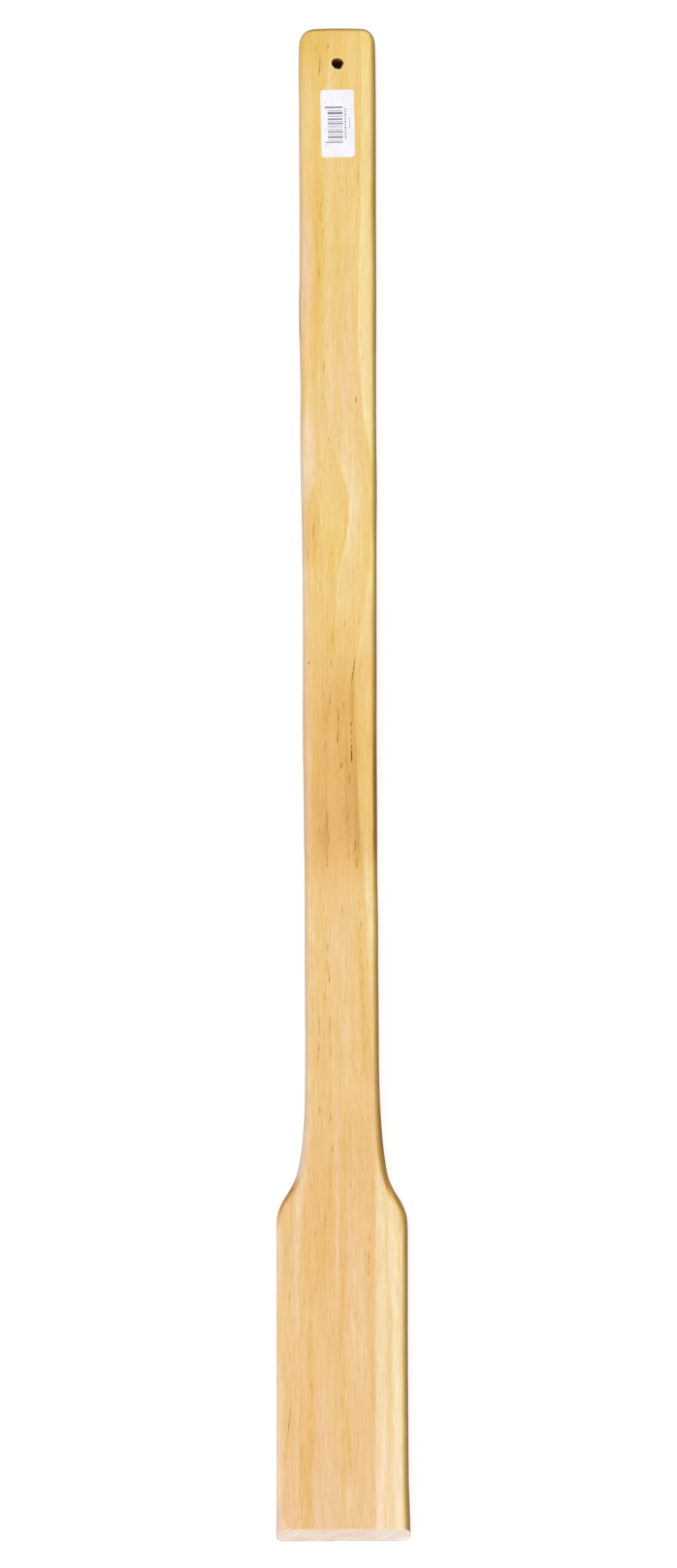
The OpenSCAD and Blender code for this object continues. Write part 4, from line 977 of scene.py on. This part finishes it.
def paper():
    n = Nodes("label_paper")
    fibres = n.noise(n.scaled(1600, 1600, 400), 1, 4, 0.6)
    patch = n.noise(n.scaled(90, 70, 20), 1, 2, 0.5)
    t = n.math("MULTIPLY_ADD", n.math("SUBTRACT", fibres, 0.5), 0.5, patch)
    k = LIGHT * 0.985
    col = n.ramp(t, [(0.25, tuple(x / k for x in lin((238, 235, 241)))), (0.5, tuple(x / k for x in lin((245, 242, 249)))), (0.75, tuple(x / k for x in lin((250, 248, 253))))])
    n.set("Base Color", col)
    n.set("Roughness", n.math("MULTIPLY_ADD", fibres, 0.1, 0.5))
    n.set("Specular IOR Level", 0.3)
    n.bump(fibres, 0.00003, 0.4)
    return n.m


def ink(name, c0, c1):
    n = Nodes(name)
    worn = n.noise(n.scaled(900, 900, 200), 1, 3, 0.6)
    col = n.ramp(worn, [(0.3, tuple(x / LIGHT for x in lin(c0))), (0.62, tuple(x / LIGHT for x in lin(c1)))])
    n.set("Base Color", col)
    n.set("Roughness", n.math("MULTIPLY_ADD", worn, 0.1, 0.5))
    n.set("Specular IOR Level", 0.3)
    return n.m


# ------------------------------------------------------------------ board
# side: which painted edge light the rounding gets, the pale painted sheen on the left (-1) or the brown painted shade
# on the right (1); the handle's end gets a mix, and the left shoulder more of the painted shade
across = np.where(v[:, 0] > 0, 1.0, -1.0) * smooth((np.abs(v[:, 0]) - 6) / 14)
across = across + (-0.1 - across) * smooth((v[:, 1] - (CORNER + 4)) / 8) + 0.75 * painted_shade_shoulder_l
# top marks the handle's end, for its end-grain figure and its grey painted shade
at_top = smooth((v[:, 1] - (CORNER + 4)) / 8) * (kind == 2)
# a dark grey line along the left edge of the handle, with a darker spot at its lower end
on_left = (kind == 2) & (v[:, 0] < 0)
s_v = v[:, 1]
dark_edge_line = 0.68 * smooth((s_v - 958) / 10) * (1 - smooth((s_v - 1001) / 12)) + 0.4 * np.exp(-((s_v - 971) / 2.5) ** 2)
dark_edge_line = np.where(on_left, dark_edge_line * np.exp(-((depth - 4.7 - 0.02 * (s_v - 980)) / 1.6) ** 2), 0.0)
# lift carries the painted light on the blade's left edge
attrs = {"tone": tone, "warm": warm, "level": level, "arris": arris, "side": across, "dark_edge_line": dark_edge_line, "amp": amp, "fig": fig, "lift": lift, "top": at_top}
for k in range(LANES):
    attrs[f"mark{k}"] = lane[k]
board = new_mesh("board_wood", v, fq, fm, [pine(), end_grain(), bore_wall()], attrs)
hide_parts("paddle_board")
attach(board, "root")

# ------------------------------------------------------------------ label
LW, LL, LR = LABEL[2], LABEL[3], LABEL[4]
# a made-up code: across from, to; along from, to; ink
INKS = []
code_u = (-7.5, 3.9)
widths = [(1.3, 1), (1.9, 0), (0.6, 1), (0.7, 0), (1.9, 1), (1.3, 0), (0.6, 1), (1.4, 0), (1.3, 1), (1.1, 0), (0.5, 1), (0.8, 0), (1.2, 1), (1.1, 0),
          (0.5, 1), (0.9, 0), (0.5, 1), (1.5, 0), (0.7, 1), (0.8, 0), (1.1, 1), (1.5, 0), (0.5, 1), (0.9, 0), (1.4, 1), (1.6, 0), (0.5, 1), (0.9, 0),
          (0.9, 1)]
pos = 14.0
for idx, (w_, dark) in enumerate(widths):
    if dark:
        guard = idx in (0, 14, 16, len(widths) - 1)
        INKS.append((code_u[0] - (2.0 if guard and idx != 14 and idx != 16 else 0), code_u[1], pos - w_, pos, 1 if w_ > 0.8 else 2))
    pos -= w_
pos = 12.4
for ln_ in (1.5, 0.9, 2.1, 1.2, 0.8, 1.7, 1.1, 2.3, 0.9, 1.4, 1.0, 1.9):
    INKS.append((5.3, 6.5, pos - ln_, pos, 3))
    pos -= ln_ + 0.75
pos = 4.8
for ln_ in (1.3, 0.9, 1.6, 1.1, 1.4):
    INKS.append((8.7, 9.4, pos - ln_, pos, 3))
    pos -= ln_ + 0.55
for a_, b_ in ((17.6, 16.7), (-4.6, -5.6), (-17.6, -18.5)):
    INKS.append((-9.7, -8.9, b_, a_, 3))

ux = sorted({round(q, 4) for r_ in INKS for q in r_[:2]} | {-LW / 2 + LR, LW / 2 - LR, 0.0})
vy = sorted({round(q, 4) for r_ in INKS for q in r_[2:4]} | {-LL / 2 + LR, LL / 2 - LR})
lift = lambda a_, b_: 0.10 * np.clip((b_ - 22) / 6, 0, 1) ** 2 * np.clip((a_ + 3) / 16, 0, 1) ** 2 + 0.06 * np.clip((-b_ - 24) / 4, 0, 1) ** 2 * np.clip((-a_ - 2) / 11, 0, 1) ** 2
lv, lf, lm = [], [], []
index = {}


def lp(a_, b_, top=True):
    key = (round(a_, 4), round(b_, 4), top)
    if key not in index:
        index[key] = len(lv)
        z_ = float(lift(a_, b_))
        lv.append((a_, b_, TH + z_ + (0.12 if top else 0.005)))
    return index[key]


def arc(cx, cy, a0):
    return [(cx + LR * math.cos(math.radians(a0 + 90 * q / 8)), cy + LR * math.sin(math.radians(a0 + 90 * q / 8))) for q in range(9)]


for q in range(len(ux) - 1):
    for r_ in range(len(vy) - 1):
        cu, cv = (ux[q] + ux[q + 1]) / 2, (vy[r_] + vy[r_ + 1]) / 2
        mi = 0
        for a0, a1, b0, b1, m_ in INKS:
            if a0 < cu < a1 and b0 < cv < b1:
                mi = m_
        lf.append([lp(ux[q], vy[r_]), lp(ux[q + 1], vy[r_]), lp(ux[q + 1], vy[r_ + 1]), lp(ux[q], vy[r_ + 1])])
        lm.append(mi)
X0, X1, Y0, Y1 = ux[0], ux[-1], vy[0], vy[-1]
for q in range(len(ux) - 1):
    lf.append([lp(ux[q], Y0 - LR), lp(ux[q + 1], Y0 - LR), lp(ux[q + 1], Y0), lp(ux[q], Y0)])
    lf.append([lp(ux[q], Y1), lp(ux[q + 1], Y1), lp(ux[q + 1], Y1 + LR), lp(ux[q], Y1 + LR)])
for r_ in range(len(vy) - 1):
    lf.append([lp(X0 - LR, vy[r_]), lp(X0, vy[r_]), lp(X0, vy[r_ + 1]), lp(X0 - LR, vy[r_ + 1])])
    lf.append([lp(X1, vy[r_]), lp(X1 + LR, vy[r_]), lp(X1 + LR, vy[r_ + 1]), lp(X1, vy[r_ + 1])])
rim = []
for cx, cy, a0 in ((X1, Y1, 0), (X0, Y1, 90), (X0, Y0, 180), (X1, Y0, 270)):
    pts_ = arc(cx, cy, a0)
    for q in range(8):
        lf.append([lp(cx, cy), lp(*pts_[q]), lp(*pts_[q + 1])])
    rim.append(pts_)
lm += [0] * (len(lf) - len(lm))
# the whole outline, counter-clockwise, for the sheet's edge and underside
outer = []
outer += rim[0]
outer += [(ux[q], Y1 + LR) for q in range(len(ux) - 2, 0, -1)]
outer += rim[1]
outer += [(X0 - LR, vy[q]) for q in range(len(vy) - 2, 0, -1)]
outer += rim[2]
outer += [(ux[q], Y0 - LR) for q in range(1, len(ux) - 1)]
outer += rim[3]
outer += [(X1 + LR, vy[q]) for q in range(1, len(vy) - 1)]
no = len(outer)
for q in range(no):
    a_, b_ = outer[q], outer[(q + 1) % no]
    lf.append([lp(*a_, True), lp(*a_, False), lp(*b_, False), lp(*b_, True)])
lm += [0] * no
top_n = len(lf)
# underside: the same faces turned over
for fc in lf[:top_n - no]:
    if len(fc) >= 3:
        lf.append([lp(lv[i_][0], lv[i_][1], False) for i_ in reversed(fc)])
lm += [0] * (len(lf) - len(lm))
lv = np.array(lv, float)
ct, st = math.cos(math.radians(LABEL[5])), math.sin(math.radians(LABEL[5]))
lw = np.stack([LABEL[0] + lv[:, 0] * ct - lv[:, 1] * st, LABEL[1] + lv[:, 0] * st + lv[:, 1] * ct, lv[:, 2]], 1)
label = new_mesh("label_sheet", lw, lf, lm,
                 [paper(), ink("ink_dark", (110, 110, 124), (144, 144, 157)), ink("ink_mid", (126, 126, 140), (160, 160, 173)),
                  ink("ink_light", (138, 138, 150), (174, 174, 186))], {}, math.radians(40))
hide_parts("paper_label")
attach(label, "root")

# ------------------------------------------------------------------ floor
me = bpy.data.meshes.new("floor")
g = 24
me.from_pydata([(-30 + 60 * i / g, -30 + 60 * j / g, -0.0003) for j in range(g + 1) for i in range(g + 1)], [],
               [[j * (g + 1) + i, j * (g + 1) + i + 1, (j + 1) * (g + 1) + i + 1, (j + 1) * (g + 1) + i] for j in range(g) for i in range(g)])
floor = bpy.data.objects.new("floor", me)
bpy.context.scene.collection.objects.link(floor)
fn = Nodes("floor_white")
speck = fn.noise(fn.scaled(3, 3, 3), 1, 3, 0.5)
fn.set("Base Color", fn.ramp(speck, [(0.3, (0.86, 0.86, 0.86)), (0.7, (0.88, 0.88, 0.88))]))
fn.set("Roughness", 0.9)
fn.set("Specular IOR Level", 0.0)
me.materials.append(fn.m)
floor.visible_diffuse = False         # a white sweep this large would otherwise light the sides like the face

# ------------------------------------------------------------------ light
world = bpy.data.worlds.new("studio")
bpy.context.scene.world = world
world.use_nodes = True
wn = world.node_tree
wn.nodes.clear()
bg = wn.nodes.new("ShaderNodeBackground")
bg.inputs[0].default_value = (1, 1, 1, 1)
bg.inputs[1].default_value = 0.42
shown = wn.nodes.new("ShaderNodeBackground")
shown.inputs[0].default_value = (1, 1, 1, 1)
shown.inputs[1].default_value = 1.05
path = wn.nodes.new("ShaderNodeLightPath")
pick = wn.nodes.new("ShaderNodeMixShader")
wo = wn.nodes.new("ShaderNodeOutputWorld")
wn.links.new(path.outputs["Is Camera Ray"], pick.inputs[0])
wn.links.new(bg.outputs[0], pick.inputs[1])
wn.links.new(shown.outputs[0], pick.inputs[2])
wn.links.new(pick.outputs[0], wo.inputs[0])


def sun(name, toward, level_, angle):
    """A wide soft light from a direction, which adds level_ to a level white surface."""
    d = Vector(toward).normalized()
    data = bpy.data.lights.new(name, "SUN")
    data.energy = level_ * math.pi / d.z
    data.angle = math.radians(angle)
    data.color = (1.0, 1.0, 1.0)
    data.use_shadow = False           # a white studio sweep: only the soft shade under the object is left
    o = bpy.data.objects.new(name, data)
    o.rotation_mode = "QUATERNION"
    o.rotation_quaternion = d.to_track_quat("Z", "Y")
    bpy.context.scene.collection.objects.link(o)
    return o


sun("key_left", (-0.30, -0.78, 0.62), 0.58, 30)
sun("top_soft", (-0.08, -0.15, 1.0), 0.30, 70)

bpy.context.scene.view_settings.view_transform = "Standard"
bpy.context.scene.view_settings.look = "None"

# ------------------------------------------------------------------ camera
TILT, ROLL, LENS, SPAN = math.radians(22.0), math.radians(0.238), 700.0, 1178.3
back_v = Vector((0, -math.sin(TILT), math.cos(TILT)))
up0, right0 = Vector((0, math.cos(TILT), math.sin(TILT))), Vector((1, 0, 0))
cam_right = right0 * math.cos(ROLL) - up0 * math.sin(ROLL)
cam_up = up0 * math.cos(ROLL) + right0 * math.sin(ROLL)
target = Vector((-0.0009, -0.0055, 0.0254)) - cam_up * 0.0056
dist = SPAN / 1000 * LENS / 36.0
cam_data = bpy.data.cameras.new("camera")
cam_data.sensor_width = 36.0
cam_data.sensor_fit = "AUTO"
cam_data.lens = LENS
cam_data.clip_start, cam_data.clip_end = 0.5, 200
camera = bpy.data.objects.new("camera", cam_data)
rot = Matrix((cam_right, cam_up, back_v)).transposed()
camera.matrix_world = Matrix.Translation(target + back_v * dist) @ rot.to_4x4()
bpy.context.scene.collection.objects.link(camera)
bpy.context.scene.camera = camera
